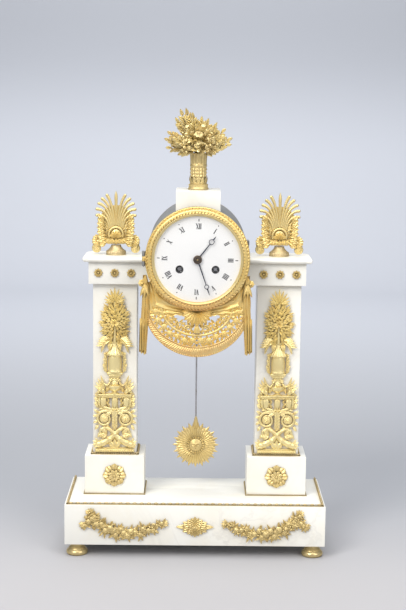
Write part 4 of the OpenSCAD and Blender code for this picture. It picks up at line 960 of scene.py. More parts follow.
def trophy_upper(half):
    """Right half of the sprigs beside the casket and of the hanging sprays."""
    half.tube([(9.8, 91.5, 1.4), (9.8, 115.0, 1.4)], 0.9, sides=6)
    for k in range(6):
        half.leaf(flat(9.8, 92 + 3.8 * k, 1.4, 30 + 12 * (k % 2)), 7.6 - 0.7 * k, 3.0, -24, 1.2, 0.6)
    half.tube(curve_points([(1.0, 124, 1.6), (5.5, 128.5, 2.0), (10.5, 127, 2.0), (13.5, 121, 1.4)], 6),
              lambda t: 0.9 - 0.4 * t, sides=6)
    for t in shares(5):
        x, y = 4.0 + 8.0 * t, 130 - 6 * t * t
        half.leaf(flat(x + 0.5, y - 1, 1.4, 122 + 34 * t), 12.0 - 2.5 * t, 2.8, 16, 1.4, 0.4)
        half.leaf(flat(x, y, 2.0, 78 + 30 * t), 11.0 - 1.5 * t, 2.8, -14, 1.4, 0.4)
    for k in range(4):
        half.leaf(flat(2.6 + 1.4 * k, 125, 2.4, 150 + 9 * k), 10 - k, 2.6, 10, 1.0, 0.4)


def trophy_centre(form):
    """Stem, altar top, cup, pedestal, casket and tent in the middle of the trophy."""
    form.slab((-22, 0, 0), (22, 3.4, 3.6))
    form.slab((-20, 3.4, 0), (20, 4.8, 2.6))
    form.beads((-21.5, 1.7, 3.7), (21.5, 1.7, 3.7), 1.0, 2.15)
    for turn in (-38, 0, 38):
        form.leaf(flat(0, 4.4, 1.6, turn), 11.5, 5.6, 0, 1.2, 0.4, thick=1.0)
    form.tube([(0, 26, 2.0), (0, 38, 2.4), (0, 49, 2.2)], lambda t: 2.0 + 0.5 * sin(9 * t), sides=10)
    for k in range(6):
        for side in (-1, 1):
            form.leaf(flat(0, 27 + 3.2 * k, 3.0, side * 34), 6.4, 2.6, -side * 20, 1.0, 0.5, thick=0.5)
    altar_columns(form, (-2.2, 0, 2.2))
    form.slab((-3.6, 48.6, 0), (3.6, 50.4, 3.2))
    form.leaf(flat(0, 64.0, 2.8, 180), 13, 5.6, 0, 0.8, 0.4)
    form.slab((-18.6, 63.6, 0), (18.6, 65.2, 4.0))
    form.slab((-19.4, 65.2, 0), (19.4, 67.0, 4.8))
    form.beads((-18, 63.2, 3.6), (18, 63.2, 3.6), 0.8, 1.75)
    cup = [(0.05, 0), (4.4, 0), (4.5, 0.8), (2.0, 1.8), (1.9, 2.8), (4.6, 4.2), (6.8, 6.4), (7.8, 9.2),
           (7.4, 10.0), (0.05, 10.0)]
    form.lathe(cup, squashed(upright(0, 67.0, 2.0), y=0.7), 32,
               shape=lambda r, h, a: r * (1 + 0.08 * cos(12 * a)) if 4 < h < 9 else r)
    form.bloom(flat(0, 79.0, 3.6), 3.8)
    for low, high, half, out in ((81.6, 84.4, 6.4, 3.6), (84.4, 87.0, 4.8, 3.0), (87.0, 89.2, 6.8, 4.2),
                                 (89.2, 91.8, 8.8, 4.8)):
        form.slab((-half, low, 0), (half, high, out))
    casket = [(0.05, 0), (7.8, 0), (8.2, 0.9), (7.8, 1.9), (7.3, 2.6), (7.7, 7), (7.8, 12), (7.4, 16.5),
              (6.4, 20.2), (4.6, 23.0), (2.4, 24.8), (0.05, 25.4)]
    stand = upright(0, 91.8, 1.2)
    form.lathe(casket, squashed(stand, y=0.66), 40)
    tent = [(0.05, 19.4), (9.4, 19.6), (9.2, 21.0), (7.6, 23.2), (5.2, 26.4), (3.2, 30.0), (2.0, 33.4),
            (1.7, 36.0), (0.05, 36.4)]
    form.lathe(tent, squashed(stand, y=0.62), 64, shape=lambda r, h, a: r * (1 + 0.06 * cos(14 * a)))
    form.tube([(0, 126, 1.8), (0, 150, 2.6), (0, 172, 2.6)], lambda t: 2.0 - 0.9 * t)


def trophy_bush(form, chance):
    """Round bush of pointed leaves that spread from its middle, layer over layer, with a crown on top."""
    middle, layers = 148.0, 7
    look = {"thick": 0.9, "groove": 0.15}
    for layer, share in enumerate(shares(layers - 1)):
        ring = 13.2 * (1 - share) ** 0.8
        count = 34 - 4 * layer
        for k in range(count):
            turn = 360 * (k + 0.5 * (layer % 2)) / count + chance.uniform(-6, 6)
            a = radians(turn)
            if abs(sin(a)) < 0.25 and cos(a) < 0:
                continue
            root = flat(0.68 * ring * sin(a), middle + 1.45 * ring * cos(a), 0.6 + 3.4 * share, turn)
            reach = chance.uniform(8.4, 10.2) - 2.6 * share
            form.leaf(root, reach, 2.8, chance.uniform(-22, 22), 1.6, 0.8, **look)
    for k in range(11):
        side = k / 5 - 1
        root = flat(side * 1.4, 172.0 - abs(side), 2.4 + 0.8 * (k % 2), side * 84)
        form.leaf(root, 16.6 - 7.0 * abs(side) ** 1.2, 3.0, side * 10, 1.2, 1.0, **look)


class CLOCK_OT_trophies(Operator):
    """Trophy mounts of the shafts: crossed horns, scrolls, altar, casket and laurel bush"""
    bl_idname = "clock.trophies"
    bl_label = "Trophies"

    def execute(self, context):
        low, high = box("trophy_left")
        form = Form()
        trophy_centre(form)
        mirrored(form, trophy_lower)
        mirrored(form, trophy_upper)
        trophy_bush(form, random.Random(5))
        tall = max(p.y for p in form.points)
        place = squashed(front_of((low.x + high.x) / 2, high.y, low.z), y=(high.z - low.z) / tall)
        for side in SIDES:
            add_sided("shaft_trophy_", side, form, ormolu_fine, place, "trophy_")
        return {"FINISHED"}


# Height of a palmette as it is drawn, and of the middle of its boss
PALMETTE_TALL = 68.9
PALMETTE_BOSS = 22.5


def palmette_half(half):
    """Right half of a palmette: blades, leaf lobes and scroll foot round the boss."""
    boss, blades = PALMETTE_BOSS, sizes().blades
    for k in range(blades):
        step = 4 * k / max(1, blades - 1)
        a, reach = radians(13.2 + 8.2 * step), 42.6 - 1.6 * step - 0.47 * step * step
        root = Vector((1.4 + 1.5 * step, 9.0 - 0.8 * step))
        tip = Vector((reach * sin(a), reach * cos(a)))
        knee = Vector((0.3 * tip.x + 0.4 * root.x, root.y + (tip.y - root.y) * (0.72 + 0.09 * step)))
        path = []
        for t in shares(12):
            at = root * (1 - t) ** 2 + knee * 2 * t * (1 - t) + tip * t * t
            path.append((at.x, boss + at.y, 1.6 + 0.8 * t))
        half.tube(path, lambda t: 1.1 + 0.6 * t, squash=0.8)
        half.ball(flat(tip.x, boss + tip.y, 2.4), 1.7, 0.9)
    for k, t in enumerate(shares(7)):
        root = flat(8.5 + 4.0 * t, 14.5 + 22 * t, 1.8 + 0.5 * (k % 2), 112 - 76 * t)
        half.leaf(root, 10.8 - 1.2 * t, 6.4, 20, 2.0, 1.6, lobe, 1.3, 0.15)
        half.leaf(root @ flat(0, 0.5, 1.6, -12), 7.0, 4.0, 16, 1.4, 1.0, lobe, 1.0, 0.15)
    for k in range(5):
        half.leaf(flat(2.4 * k, 18.0, 2.4, 178 - 14 * k), 6.8, 4.2, -10, 1.2, 0.8, lobe, 1.0, 0.15)
    for k in range(6):
        half.leaf(flat(18.6, 15.0, 1.6, 20 + 28 * k), 7.6, 5.0, 16, 1.6, 0.8, lobe, 1.1, 0.15)
    half.volute(flat(20.6, 6.6, 1.2), 4.6, 3.0, 1.15, 1.6, 1, 110)
    half.bloom(flat(20.6, 6.6, 1.8), 3.6, 6, 2, 0.3)
    arm = curve_points([(3, 15.5, 0.4), (9, 15.0, 0.8), (14, 15.5, 0.8), (20, 14.0, 0.4)], 5)
    half.tube(arm, 3.0, sides=10)
    half.tube(curve_points([(20, 16.0, 0.2), (22.4, 11.5, 0.6), (22.2, 7.0, 0.4)], 5), 2.6)


def palmette_ground(form):
    """Ribbed fan that the blades grow from, and the plain ground behind the leaves."""
    def fan(u, v):
        a = radians(-62 + 124 * u)
        r = 5.0 + (26 * (1 - 0.42 * abs(2 * u - 1) ** 1.6)) * v
        rib = 0.8 * abs(cos(pi * 21 * u)) * (0.25 + 0.75 * v)
        return (r * sin(a), PALMETTE_BOSS + r * cos(a), 1.2 + rib)
    form.panel(fan, 126, 6, 2.8)

    def ground(u, v):
        wide = 18.0 - 4.0 * max(0, v - 0.75) * 4
        return (wide * (2 * u - 1), 13.2 + 25 * v, 0.8 + 0.5 * cos(TAU * 5 * u) * sin(pi * v))
    form.panel(ground, 40, 10, 2.4)


class CLOCK_OT_palmettes(Operator):
    """Palmettes and their turned stands on the cornices"""
    bl_idname = "clock.palmettes"
    bl_label = "Palmettes"

    def execute(self, context):
        middle, floor, depth = middle_of("palmette_left").x, box("cornice_left")[1].z, 3.0
        form = Form()
        form.leaf(flat(0, 30, 1.4), PALMETTE_TALL - 30.2, 4.2, 0, 0.4, 0.6, blade, 1.4, 1.2, 10)
        palmette_ground(form)
        form.ball(flat(0, PALMETTE_BOSS, 2.2), 5.4, 0.4, 24, 9)
        for k in range(7):
            root = flat(0, PALMETTE_BOSS - 4.5, 3.4, 22 * (k - 3))
            form.leaf(root, 8.0, 2.6, 0, 0.8, 0.2, lobe, 0.9, 0.1)
        form.tube(arc_points((0, PALMETTE_BOSS - 0.5), 7.6, -25, 205, 28, 3.0), 1.2)
        form.slab((-9.5, 11.4, -1.6), (9.5, 14.2, 2.6))
        mirrored(form, palmette_half)
        rise = box("palmette_left")[1].z - floor
        place = front_of(middle, depth, floor) @ Matrix.Scale(rise / PALMETTE_TALL, 4)
        for side in SIDES:
            add_sided("palmette_finial_", side, form, ormolu_palmette, place, "palmette_")
        low, high = box("palmette_stands")
        top = high.z - low.z
        profile = [(0.05, 0), (11.3, 0), (11.4, 0.6), (10.9, 1.1), (10.8, 1.6), (10.4, 4.2), (9.8, 4.8),
                   (8.6, 5.8), (7.2, 7.2), (6.1, 8.6), (5.6, 9.6), (5.6, top), (0.05, top)]
        stands = Form()
        for x in (-middle, middle):
            stands.lathe(profile, moved(x, depth, low.z), 96,
                         shape=lambda r, h, a: r * (1 + 0.05 * cos(30 * a)) if 1.3 < h < 4.5 else r)
        add_form("palmette_pedestals", stands, old_gilding, nodes=("palmette_stands",))
        return {"FINISHED"}


# Drum, bezel and dial

class CLOCK_OT_drum(Operator):
    """Painted drum and its brass back door"""
    bl_idname = "clock.drum"
    bl_label = "Drum"

    def execute(self, context):
        add_softened("drum_shell", "drum_case", drum_paint, 0.15 * MM)
        paint_node("back_door", brass)
        return {"FINISHED"}


class CLOCK_OT_bezel(Operator):
    """Chased bezel with laurel, beads and a rope, and its convex glass"""
    bl_idname = "clock.bezel"
    bl_label = "Bezel"

    def execute(self, context):
        place = drum_front() @ flat(0, 0, -box("bezel")[1].y)
        form = Form()
        profile = [(56.9, 0.0), (57.2, 0.8), (57.0, 2.0), (56.2, 2.6), (55.4, 2.7), (55.2, 3.3), (54.8, 4.4),
                   (53.9, 5.5), (52.8, 6.1), (51.8, 6.0), (51.0, 5.4), (50.4, 4.6), (50.2, 1.6), (50.2, 0.0)]
        form.lathe(profile, place, 144, ring=True)
        leaves, beads, bead_ring = 92, 176, 56.2
        for row, (radius, level, lean, tilt) in enumerate(((54.2, 5.0, -28, 34), (52.0, 5.9, 28, -12))):
            for k in range(leaves):
                spot = place @ turned(360 * (k + 0.5 * row) / leaves) @ moved(radius, 0, level)
                spot = spot @ turned(tilt, "Y") @ flat(0, -1.9, 0, -lean)
                form.leaf(spot, 4.2, 1.9, arch=0.35, tip=0.1, thick=0.45, groove=0.3, steps=4)
        for a in turns_of(beads):
            form.ball(place @ flat(bead_ring * cos(a), bead_ring * sin(a), 2.9), 0.92, sides=6, rows=4)
        sight = Form()
        sight.lathe([(50.4, 1.8), (50.4, 4.6), (50.0, 5.2), (49.4, 5.4), (48.8, 5.2), (48.4, 4.6),
                     (48.0, 4.4), (47.4, 3.4), (47.05, 2.2), (47.05, 1.1)], place, 144, ring=True)
        rope = arc_points((0, 0), 49.4, 0, 360, 420, 5.3)[:-1]
        sight.tube(rope, 0.6, place, 10, 1.0, 3, 130, 0.2, True)
        add_form("bezel_sight_ring", sight, ormolu_clean, body="bezel", crease=60)
        pin, pin_r = box("hinge_pins")[0], 0.6
        knuckle = moved(pin.x + pin_r, pin.y + pin_r, place.translation.z)
        form.lathe([(0.65, -2.5), (1.5, -2.5), (1.6, -2.3), (1.6, 2.3), (1.5, 2.5), (0.65, 2.5)], knuckle,
                   24, ring=True)
        form.slab((-58.6, -2.4, 0.3), (-55.5, 2.4, 2.4), place)
        add_form("chased_bezel", form, ormolu_bezel, nodes=("bezel",), body="bezel", crease=60)
        paint_node("bezel_glass", clear_glass)
        return {"FINISHED"}


ROMAN = ("XII", "I", "II", "III", "IIII", "V", "VI", "VII", "VIII", "IX", "X", "XI")
# Each letter's room and its strokes: foot x, head x and width, on a letter one unit high
STROKES = {
    "I": (0.26, ((0.0, 0.0, 0.17),)),
    "V": (0.52, ((0.0, -0.19, 0.18), (0.0, 0.19, 0.08))),
    "X": (0.52, ((0.19, -0.19, 0.18), (-0.19, 0.19, 0.08))),
}
# Degrees that the dial sits turned in its drum, and the height of its dome
DIAL_TURN = 1.4
DIAL_CROWN = 2.6


class CLOCK_OT_dial(Operator):
    """Enamel dial with its fired numerals and dots, and black rings in the winding holes as painted shade"""
    bl_idname = "clock.dial"
    bl_label = "Dial"

    def execute(self, context):
        paint_node("dial", enamel)
        low, high = box("dial")
        rim_r, apex = (high.x - low.x) / 2, -low.y
        place = drum_front()
        form = Form()
        tall, ring, marks = mm(sizes().numeral), mm(sizes().numeral_ring), mm(sizes().mark_ring)
        foot_y, head_y = ring - tall / 2, ring + tall / 2
        serif_x, serif_y, dot = 0.4, 0.09, 0.62

        def on_dome(x, y, lift):
            return (x, y, apex - DIAL_CROWN * (x * x + y * y) / (rim_r * rim_r) + lift)

        def stroke(turn, corners):
            spin = Matrix.Rotation(radians(-turn), 2)
            flats = [spin @ Vector(p) for p in corners]
            form.loft([[on_dome(p.x, p.y, lift) for p in flats] for lift in (-0.1, 0.06)], place)

        def bar(turn, left, right, foot, head):
            stroke(turn, [(left, foot), (right, foot), (right, head), (left, head)])

        for hour, word in enumerate(ROMAN):
            turn = 30 * hour + DIAL_TURN
            x = -sum(STROKES[c][0] for c in word) * tall / 2
            for c in word:
                room, lines = STROKES[c]
                x += room * tall / 2
                for foot, head, weight in lines:
                    foot, head, half = x + foot * tall, x + head * tall, weight * tall / 2
                    stroke(turn, [(foot - half, foot_y), (foot + half, foot_y), (head + half, head_y),
                                  (head - half, head_y)])
                    wide = half + serif_x
                    for end, level in ((foot, foot_y), (head, head_y)):
                        if not (c == "V" and level == foot_y):
                            bar(turn, end - wide, end + wide, level - serif_y, level + serif_y)
                x += room * tall / 2
            if hour % 3:
                stroke(turn, [(dot * cos(a), marks + dot * sin(a)) for a in turns_of(12)])
            else:
                bar(turn, -0.45, 0.45, marks - 1.6, marks + 1.4)
        add_form("dial_numerals", form, dial_black, crease=30)
        # Black rings that line the winding holes: painted shade inside the holes.
        form = Form()
        for node in ("going_arbor", "strike_arbor"):
            square = middle_of(node)
            spot = place @ flat(*on_dome(square.x, square.z - place.translation.z, 0))
            form.lathe([(2.7, -2.6), (3.4, -1.8), (3.7, 0.05), (4.0, 0.25), (4.4, 0.12), (4.4, 0.0),
                        (3.8, -0.3), (3.8, -2.2), (2.7, -2.9)], spot, 40, ring=True)
        add_form("winding_hole_shade_rings", form, dial_black)
        return {"FINISHED"}


class CLOCK_OT_hands(Operator):
    """Blued moon-ring hands on a bronze hub"""
    bl_idname = "clock.hands"
    bl_label = "Hands"

    def execute(self, context):
        for node in ("hour_hand", "minute_hand"):
            add_softened("blued_" + node, node, blued_steel, 0.12 * MM, body=node)
        form = Form()
        form.lathe([(1.75, 0.05), (4.6, 0.05), (4.8, 0.3), (4.4, 0.6), (2.6, 0.85), (1.75, 0.85)],
                   drum_front() @ flat(0, 0, -box("minute_hand")[0].y), 40, ring=True)
        paint_node("cannon_pinion", hub_bronze)
        add_form("hand_collet", form, hub_bronze, body="minute_hand")
        return {"FINISHED"}


# Apron and draperies

# Height of the apron's own centre from the drum's axis, and the angle that its rim spans to each side
APRON_DROP = -50.0
RIM_SPREAD = 104.0


def round_apron(turn, radius, out):
    """Point round the apron's own centre, some degrees from its lowest point."""
    return (radius * sin(radians(turn)), APRON_DROP - radius * cos(radians(turn)), out)


def apron_arc(radius, half_angle, steps, out):
    """Line to both sides of the apron's lowest point; the radius is a function of the angle."""
    turns = [half_angle * (2 * t - 1) for t in shares(steps)]
    return [round_apron(turn, radius(turn), out) for turn in turns]


def rim_inside(turn):
    """Inner radius of the apron's rim, which is broad below and narrow at the sides."""
    return 54.2 - 6.4 * max(cos(radians(turn)), 0) ** 1.4


def rim_band(u, v):
    """Point of the apron's roped rim."""
    turn = RIM_SPREAD * (2 * u - 1)
    rope = 0.5 * cos(TAU * (80 * u + 1.8 * v)) * sin(pi * v)
    rise = 1.7 + 1.3 * sin(pi * v) ** 0.7 + rope
    return round_apron(turn, rim_inside(turn) + (58.6 - rim_inside(turn)) * v, rise)


def field_arc(turn):
    """Radius of the band between the apron's two rows of leaf work."""
    return 34.5 + 5.0 * sin(radians(turn)) ** 2


def apron_cloth(u, v):
    """Point of the gathered cloth: long folds that hug the bezel and widen beside the draperies."""
    turn, inside = 128 * u - 64, 55.0
    aside = abs(turn)
    wide = min(5 + 24 * (aside / 43) ** 1.7, 55.5 / max(sin(radians(aside)), 0.1) - inside)
    r = inside + wide * v + 0.9 * v ** 3 * cos(radians(45 * turn))
    a = radians(turn - 90)
    fold = cos(TAU * (3.6 * v + 0.3)) * min(1, wide / 11) * (1 - 0.5 * v)
    return (r * cos(a), r * sin(a), 2.7 + fold + 0.2 * cos(TAU * (8 * v + 0.03 * aside)))


def apron_half(half, chance):
    """Right half of the leaf fan, the scrolls below it and the garland along the rim."""
    for k in range(1, 6):
        root = flat(0, -55.0, 3.1, 180 - 15.5 * k) @ flat(0, 3.0)
        half.leaf(root, 18.5 - 0.8 * k, 5.4, -8, 1.4, 0.3, lobe, 1.2, 0.1)

    def spray(place, reach):
        for k in range(6):
            root = place @ flat(0, 0, 0, 60 * k + chance.uniform(-14, 14)) @ flat(0, 1.4)
            half.leaf(root, reach * chance.uniform(0.85, 1.1), 3.0, chance.uniform(-30, 30), 0.9, 0.3,
                      thick=0.9, groove=0.15)

    for k, (x, y, size) in enumerate(((9.4, -77.0, 4.4), (19.6, -72.5, 4.4), (29.0, -66.0, 3.8))):
        half.volute(flat(x, y, 2.0), size, 1.2, 1.3, 1.2, 1 if k % 2 else -1, 70 * k)
        spray(flat(x, y, 1.4, 40 * k), size + 2.6)

    def in_row(turn, radius, out):
        return flat(0, APRON_DROP, out) @ turned(turn) @ flat(0, -radius, 0, 180)

    for k in range(7):
        turn = 6.2 + 12.2 * k
        spot = (field_arc(turn) + rim_inside(turn)) / 2 + (0.7 if k % 2 else -0.7)
        half.bloom(in_row(turn, spot, 2.2), 3.5, 6, 2, 0.3)
        spray(in_row(turn, spot, 1.6), 6.2)
    for k in range(13):
        turn = 3.2 + 6.4 * k
        for radius, start, reach, wide in ((field_arc, -0.6, 4.6, 3.2), (rim_inside, 0.6, 4.2, 3.6)):
            root = in_row(turn, radius(turn), 2.0) @ flat(0, start, 0, 180)
            half.leaf(root, reach, wide, 0, 0.6, 0.2, lobe, 0.9, 0.1)


class CLOCK_OT_apron(Operator):
    """Pierced apron under the bezel: folded cloth, leaf fan, scrolls, pierced garland and roped rim"""
    bl_idname = "clock.apron"
    bl_label = "Apron"

    def execute(self, context):
        place = drum_front() @ flat(0, 0, -box("apron")[1].y)
        form = Form()
        form.panel(apron_cloth, 150, 24, 1.4)
        form.leaf(flat(0, -55.0, 3.3, 180) @ flat(0, 3.0), 18.5, 5.4, 0, 1.4, 0.3, lobe, 1.2, 0.1)
        mirrored(form, lambda half: apron_half(half, random.Random(7)))
        form.tube(apron_arc(field_arc, 84, 200, 2.2), 1.5, squash=0.8, lobes=2, twists=60, depth=0.15)
        tassel = [(0.05, 0), (1.4, 0.4), (2.3, 1.6), (1.6, 3.0), (1.9, 3.6), (3.0, 6.5), (3.6, 10.0),
                  (3.2, 11.2), (0.05, 11.2)]
        form.lathe(tassel, squashed(flat(0, -70.5, 3.6, 180) @ upright(), y=0.6), 40,
                   shape=lambda r, h, a: r * (1 + 0.09 * cos(14 * a)) if h > 3.5 else r)
        add_form("pierced_apron", form, ormolu_yellow, place, ("apron",))
        rim, beads = Form(), 100
        rim.panel(rim_band, 640, 10, 1.5)
        for k in range(beads):
            turn = RIM_SPREAD * (2 * (k + 0.5) / beads - 1)
            rim.ball(flat(*round_apron(turn, 57.9, 2.0)), 1.1, sides=6, rows=4)
        rim.tube(apron_arc(rim_inside, RIM_SPREAD, 240, 2.3), 1.0, sides=9, lobes=3, twists=90)
        add_form("apron_rim", rim, ormolu_red, place)
        return {"FINISHED"}


def drapery(form):
    """Left drapery: gathered under a bow, falling in folds to a stepped hem."""
    top, bottom = -18.0, -102.5

    def zigzag(share):
        return abs((share % 1) * 2 - 1)

    def surface(u, v):
        left = -59.4 - 3.4 * v ** 0.8 + 0.5 * sin(5 * v)
        right = -55.6 + 3.6 * min(1, 4.5 * v) ** 0.7 - 3.4 * v * v
        hem = 1.7 * zigzag(u * 2.5 + 0.2) + 3.0 * u
        y = top + (bottom - top) * v - hem * max(0, v - 0.9) * 10
        fold = (0.5 + 0.8 * v) * cos(TAU * (2.6 * u + 0.12 + 0.1 * sin(4 * v)))
        gather = 0.3 * cos(TAU * 7 * u + 3 * v) * (1 - 0.6 * v)
        return (left + (right - left) * u, y, 6.2 + fold + gather)
    form.panel(surface, 52, 64, 1.0)

    def tail(u, v):
        left, right = -62.8 - 0.6 * v, -56.6 + 0.2 * v
        y = -66 - 35.0 * v - 2.4 * zigzag(u * 2 + 0.1) * max(0, v - 0.8) * 5
        rise = min(1, 4 * v)
        fold = 0.9 * cos(TAU * (2.6 * u + 0.4)) + 0.3 * cos(TAU * 7 * u)
        return (left + (right - left) * u, y, 5.4 + 1.6 * rise + fold * rise)
    form.panel(tail, 42, 24, 0.9)
    for turn, reach, wide in ((4, 11.0, 4.4), (-14, 8.5, 4.0), (16, 7.5, 3.6)):
        form.leaf(flat(-57.0, -28.5, 5.6, turn), reach, wide, -turn, 1.2, 0.2, thick=1.0)
    for turn in (196, 178, 160):
        form.leaf(flat(-57.4, -27.5, 6.4, turn), 15.0, 3.6, 8, 1.2, 0.4, thick=0.9)
    form.bloom(flat(-60.4, -27.3, 4.6), 4.3, 8, 2, 0.12)


class CLOCK_OT_draperies(Operator):
    """Hanging draperies beside the apron"""
    bl_idname = "clock.draperies"
    bl_label = "Draperies"

    def execute(self, context):
        form = Form()
        drapery(form)
        place = drum_front() @ flat(0, 0, -box("drapery_left")[1].y)
        for side, inward in zip(SIDES, (0.0, 2.4)):
            add_sided("gilt_drapery_", side, form, ormolu_yellow, place @ flat(inward, 0), "drapery_")
        return {"FINISHED"}


# Vase and flowers

class CLOCK_OT_flowers(Operator):
    """Chased vase with its bouquet of leaves, flowers and berries"""
    bl_idname = "clock.flowers"
    bl_label = "Vase and flowers"

    def execute(self, context):
        middle, top, floor = middle_of("flower_vase"), box("flower_vase")[1].z, box("top_block")[1].z
        tall = top - floor

        def chased(r, h, a):
            if 8.5 < h < 24.5:
                return r + 0.8 * cos(8 * a + 0.85 * h) * cos(8 * a - 0.85 * h)
            if 28.5 < h < 38.0:
                return r + 0.5 * cos(14 * a + 0.3 * sin(h))
            return r
        profile = [(0.05, 0), (11.2, 0), (11.3, 0.6), (11.3, 1.8), (10.8, 2.3), (10.5, 2.6), (10.6, 4.5),
                   (10.9, 4.9), (10.8, 5.8), (9.6, 6.3), (9.2, 6.8), (9.5, 7.4), (9.1, 8.0)]
        profile += [(8.9 - 0.3 * sin(pi * t), 8.6 + 15.8 * t) for t in shares(28)]
        profile += [(8.9, 25.0), (9.4, 25.6), (9.4, 27.4), (8.9, 28.0)]
        profile += [(8.6 + 0.6 * t * t, 28.6 + 9.3 * t) for t in shares(10)]
        profile += [(9.3, 38.6), (9.2, tall), (0.05, tall)]
        place = moved(middle.x, middle.y, floor)
        vase = Form()
        vase.lathe(profile, place, 112, shape=chased)
        for a in turns_of(12):
            out = Vector((cos(a), sin(a), 0))
            root = aim(place @ (out * 8.9 + UP * 7.6), UP + out * 0.05, out)
            vase.leaf(root, 6.8, 4.4, arch=0.5, tip=0.5, thick=0.5)
        add_form("chased_vase", vase, ormolu_vase, nodes=("flower_vase",), crease=60)
        bouquet = Form()
        fill_bouquet(bouquet, moved(middle.x, middle.y, top), random.Random(41))
        add_form("gilt_bouquet", bouquet, ormolu_aged, nodes=("bouquet",))
        return {"FINISHED"}


def sprig(form, root, tip, chance, pairs):
    """Stem from a root to a tip with pairs of leaves and one at its end, turned to face outwards; the leaves
    of a long frond are pointed, those of a short sprig round-ended."""
    leaf = 8.4
    lean = tip - root
    reach = lean.length - 0.7 * leaf
    lean.normalize()
    toward = Vector((0, -1 if tip.y < 6 else 1, 0.4)).normalized()
    side = lean.cross(toward if abs(lean.dot(toward)) < 0.85 else UP).normalized()
    facing = side.cross(lean)
    shape = lance if pairs > 5 else lobe
    sag = Vector((0, 0, -0.1 * reach * (1 - abs(lean.z))))
    form.tube([root + (lean * reach + sag * t) * t for t in shares(4)], lambda t: 1.0 - 0.4 * t, sides=5)
    for k in range(pairs):
        t = 0.34 + 0.62 * k / pairs
        at = root + (lean * reach + sag * t) * t
        for hand in (-1, 1):
            way = lean + side * hand * chance.uniform(0.6, 1.0) + facing * chance.uniform(-0.1, 0.5)
            form.leaf(aim(at, way, facing + lean * 0.2), leaf * chance.uniform(0.8, 1.05),
                      leaf * chance.uniform(0.46, 0.56), -hand * chance.uniform(0, 30), 1.0,
                      chance.uniform(-1.8, 0.5), shape, 0.9, -0.1, 5)
    end = aim(root + lean * reach + sag, lean + facing * 0.1, facing)
    form.leaf(end, leaf, leaf * 0.5, 0, 1.0, -0.6, shape, 0.9, -0.1, 5)


def fill_bouquet(form, foot, chance):
    """Tall fronds to the left, a broad head of sprigs with drooping ends, open blooms and berries."""
    def grow(tip, share_x, share_y, share_z, pairs=5):
        """Sprig to a tip, from a root at some shares of the tip's place."""
        x, y, z = tip
        root = Vector((share_x * x, share_y * y, 4 + share_z * max(z, 0)))
        sprig(form, foot @ root, foot @ Vector(tip), chance, pairs)

    form.ball(foot @ moved(0, 0, 9), 11, 0.85, 16, 9)
    for x, z in ((-20, 46), (-25, 37), (-14, 47), (-7, 42), (3, 38), (10, 36), (19, 32), (28, 26), (35, 17),
                 (34, 11), (26, 6), (17, 0), (-33, 23), (-36, 16), (-34, 7), (-21, -1), (-15, 31), (14, 27)):
        grow((x, chance.uniform(-7, 5), z), 0.25, 0.3, 0.08, 7 if z > 30 else 5)
    for face in (-1, 1):
        for x, y, z in ((-20, 22, 11), (-9, 26, 15), (5, 27, 12), (17, 23, 14), (-13, 20, 26), (1, 21, 29),
                        (12, 19, 26), (-27, 12, 17), (27, 12, 19), (-5, 25, 4), (10, 24, 4), (-17, 17, 3),
                        (22, 15, 5), (-6, 13, 36)):
            grow((x, face * y, z), 0.2, 0.2, 0.15)
        for x, y, z, wide in ((0, 18, 21, 5.0), (-12, 16, 14, 3.6), (12, 16, 16, 3.6), (-2, 19, 9, 3.6),
                              (5, 12, 30, 3.0), (-13, 10, 29, 3.0), (-23, 8, 12, 3.2), (23, 8, 14, 3.2),
                              (9, 18, 7, 3.0), (-11, 16, 6, 3.0)):
            out = Vector((x, face * y, z - 6)).normalized()
            spot = aim(foot @ Vector((x, face * y, z)), out.orthogonal(), out)
            form.bloom(spot, wide, chance.choice((6, 8)), 3, 0.3)
    for _ in range(60):
        turn, level = chance.uniform(0, TAU), chance.uniform(-0.3, 0.7)
        out = Vector((cos(turn), sin(turn), level)).normalized() * chance.uniform(17, 25)
        form.ball(foot @ Matrix.Translation(out + UP * 9), chance.uniform(1.0, 1.6))


# Pendulum

# Swells of the mask on a face of radius 1: rise, x from the middle line, y, width and height;
# a swell beside the middle line comes twice
MASK = ((0.13, 0.28, 0.26, 0.22, 0.07), (-0.17, 0.28, 0.12, 0.17, 0.09), (0.08, 0.28, 0.11, 0.09, 0.05),
        (0.21, 0, 0.0, 0.08, 0.20), (0.12, 0, -0.14, 0.13, 0.08), (0.06, 0.40, -0.16, 0.2, 0.2),
        (0.11, 0, -0.34, 0.18, 0.045), (0.09, 0, -0.45, 0.15, 0.05), (-0.10, 0, -0.395, 0.2, 0.025),
        (0.09, 0, -0.66, 0.17, 0.10))


def sun_face(form, place, radius):
    """Calm round mask: brow, nose, closed lips and chin on even thirds."""
    rows, steps = 16, 48

    def relief(x, y):
        swell = 0.34 * (1 - x * x - y * y)
        for rise, aside, level, wide, tall in MASK:
            for middle in (-aside, aside) if aside else (0,):
                swell += rise * exp(-((x - middle) / wide) ** 2 - ((y - level) / tall) ** 2)
        return swell

    rings = [[(radius * cos(a), radius * sin(a), -1.0) for a in turns_of(steps)]]
    for t in shares(rows - 1):
        share = max(1 - t, 0.01)
        spots = [(share * cos(a), share * sin(a)) for a in turns_of(steps)]
        rings.append([(radius * x, radius * y, radius * relief(x, y)) for x, y in spots])
    form.loft(rings, place)


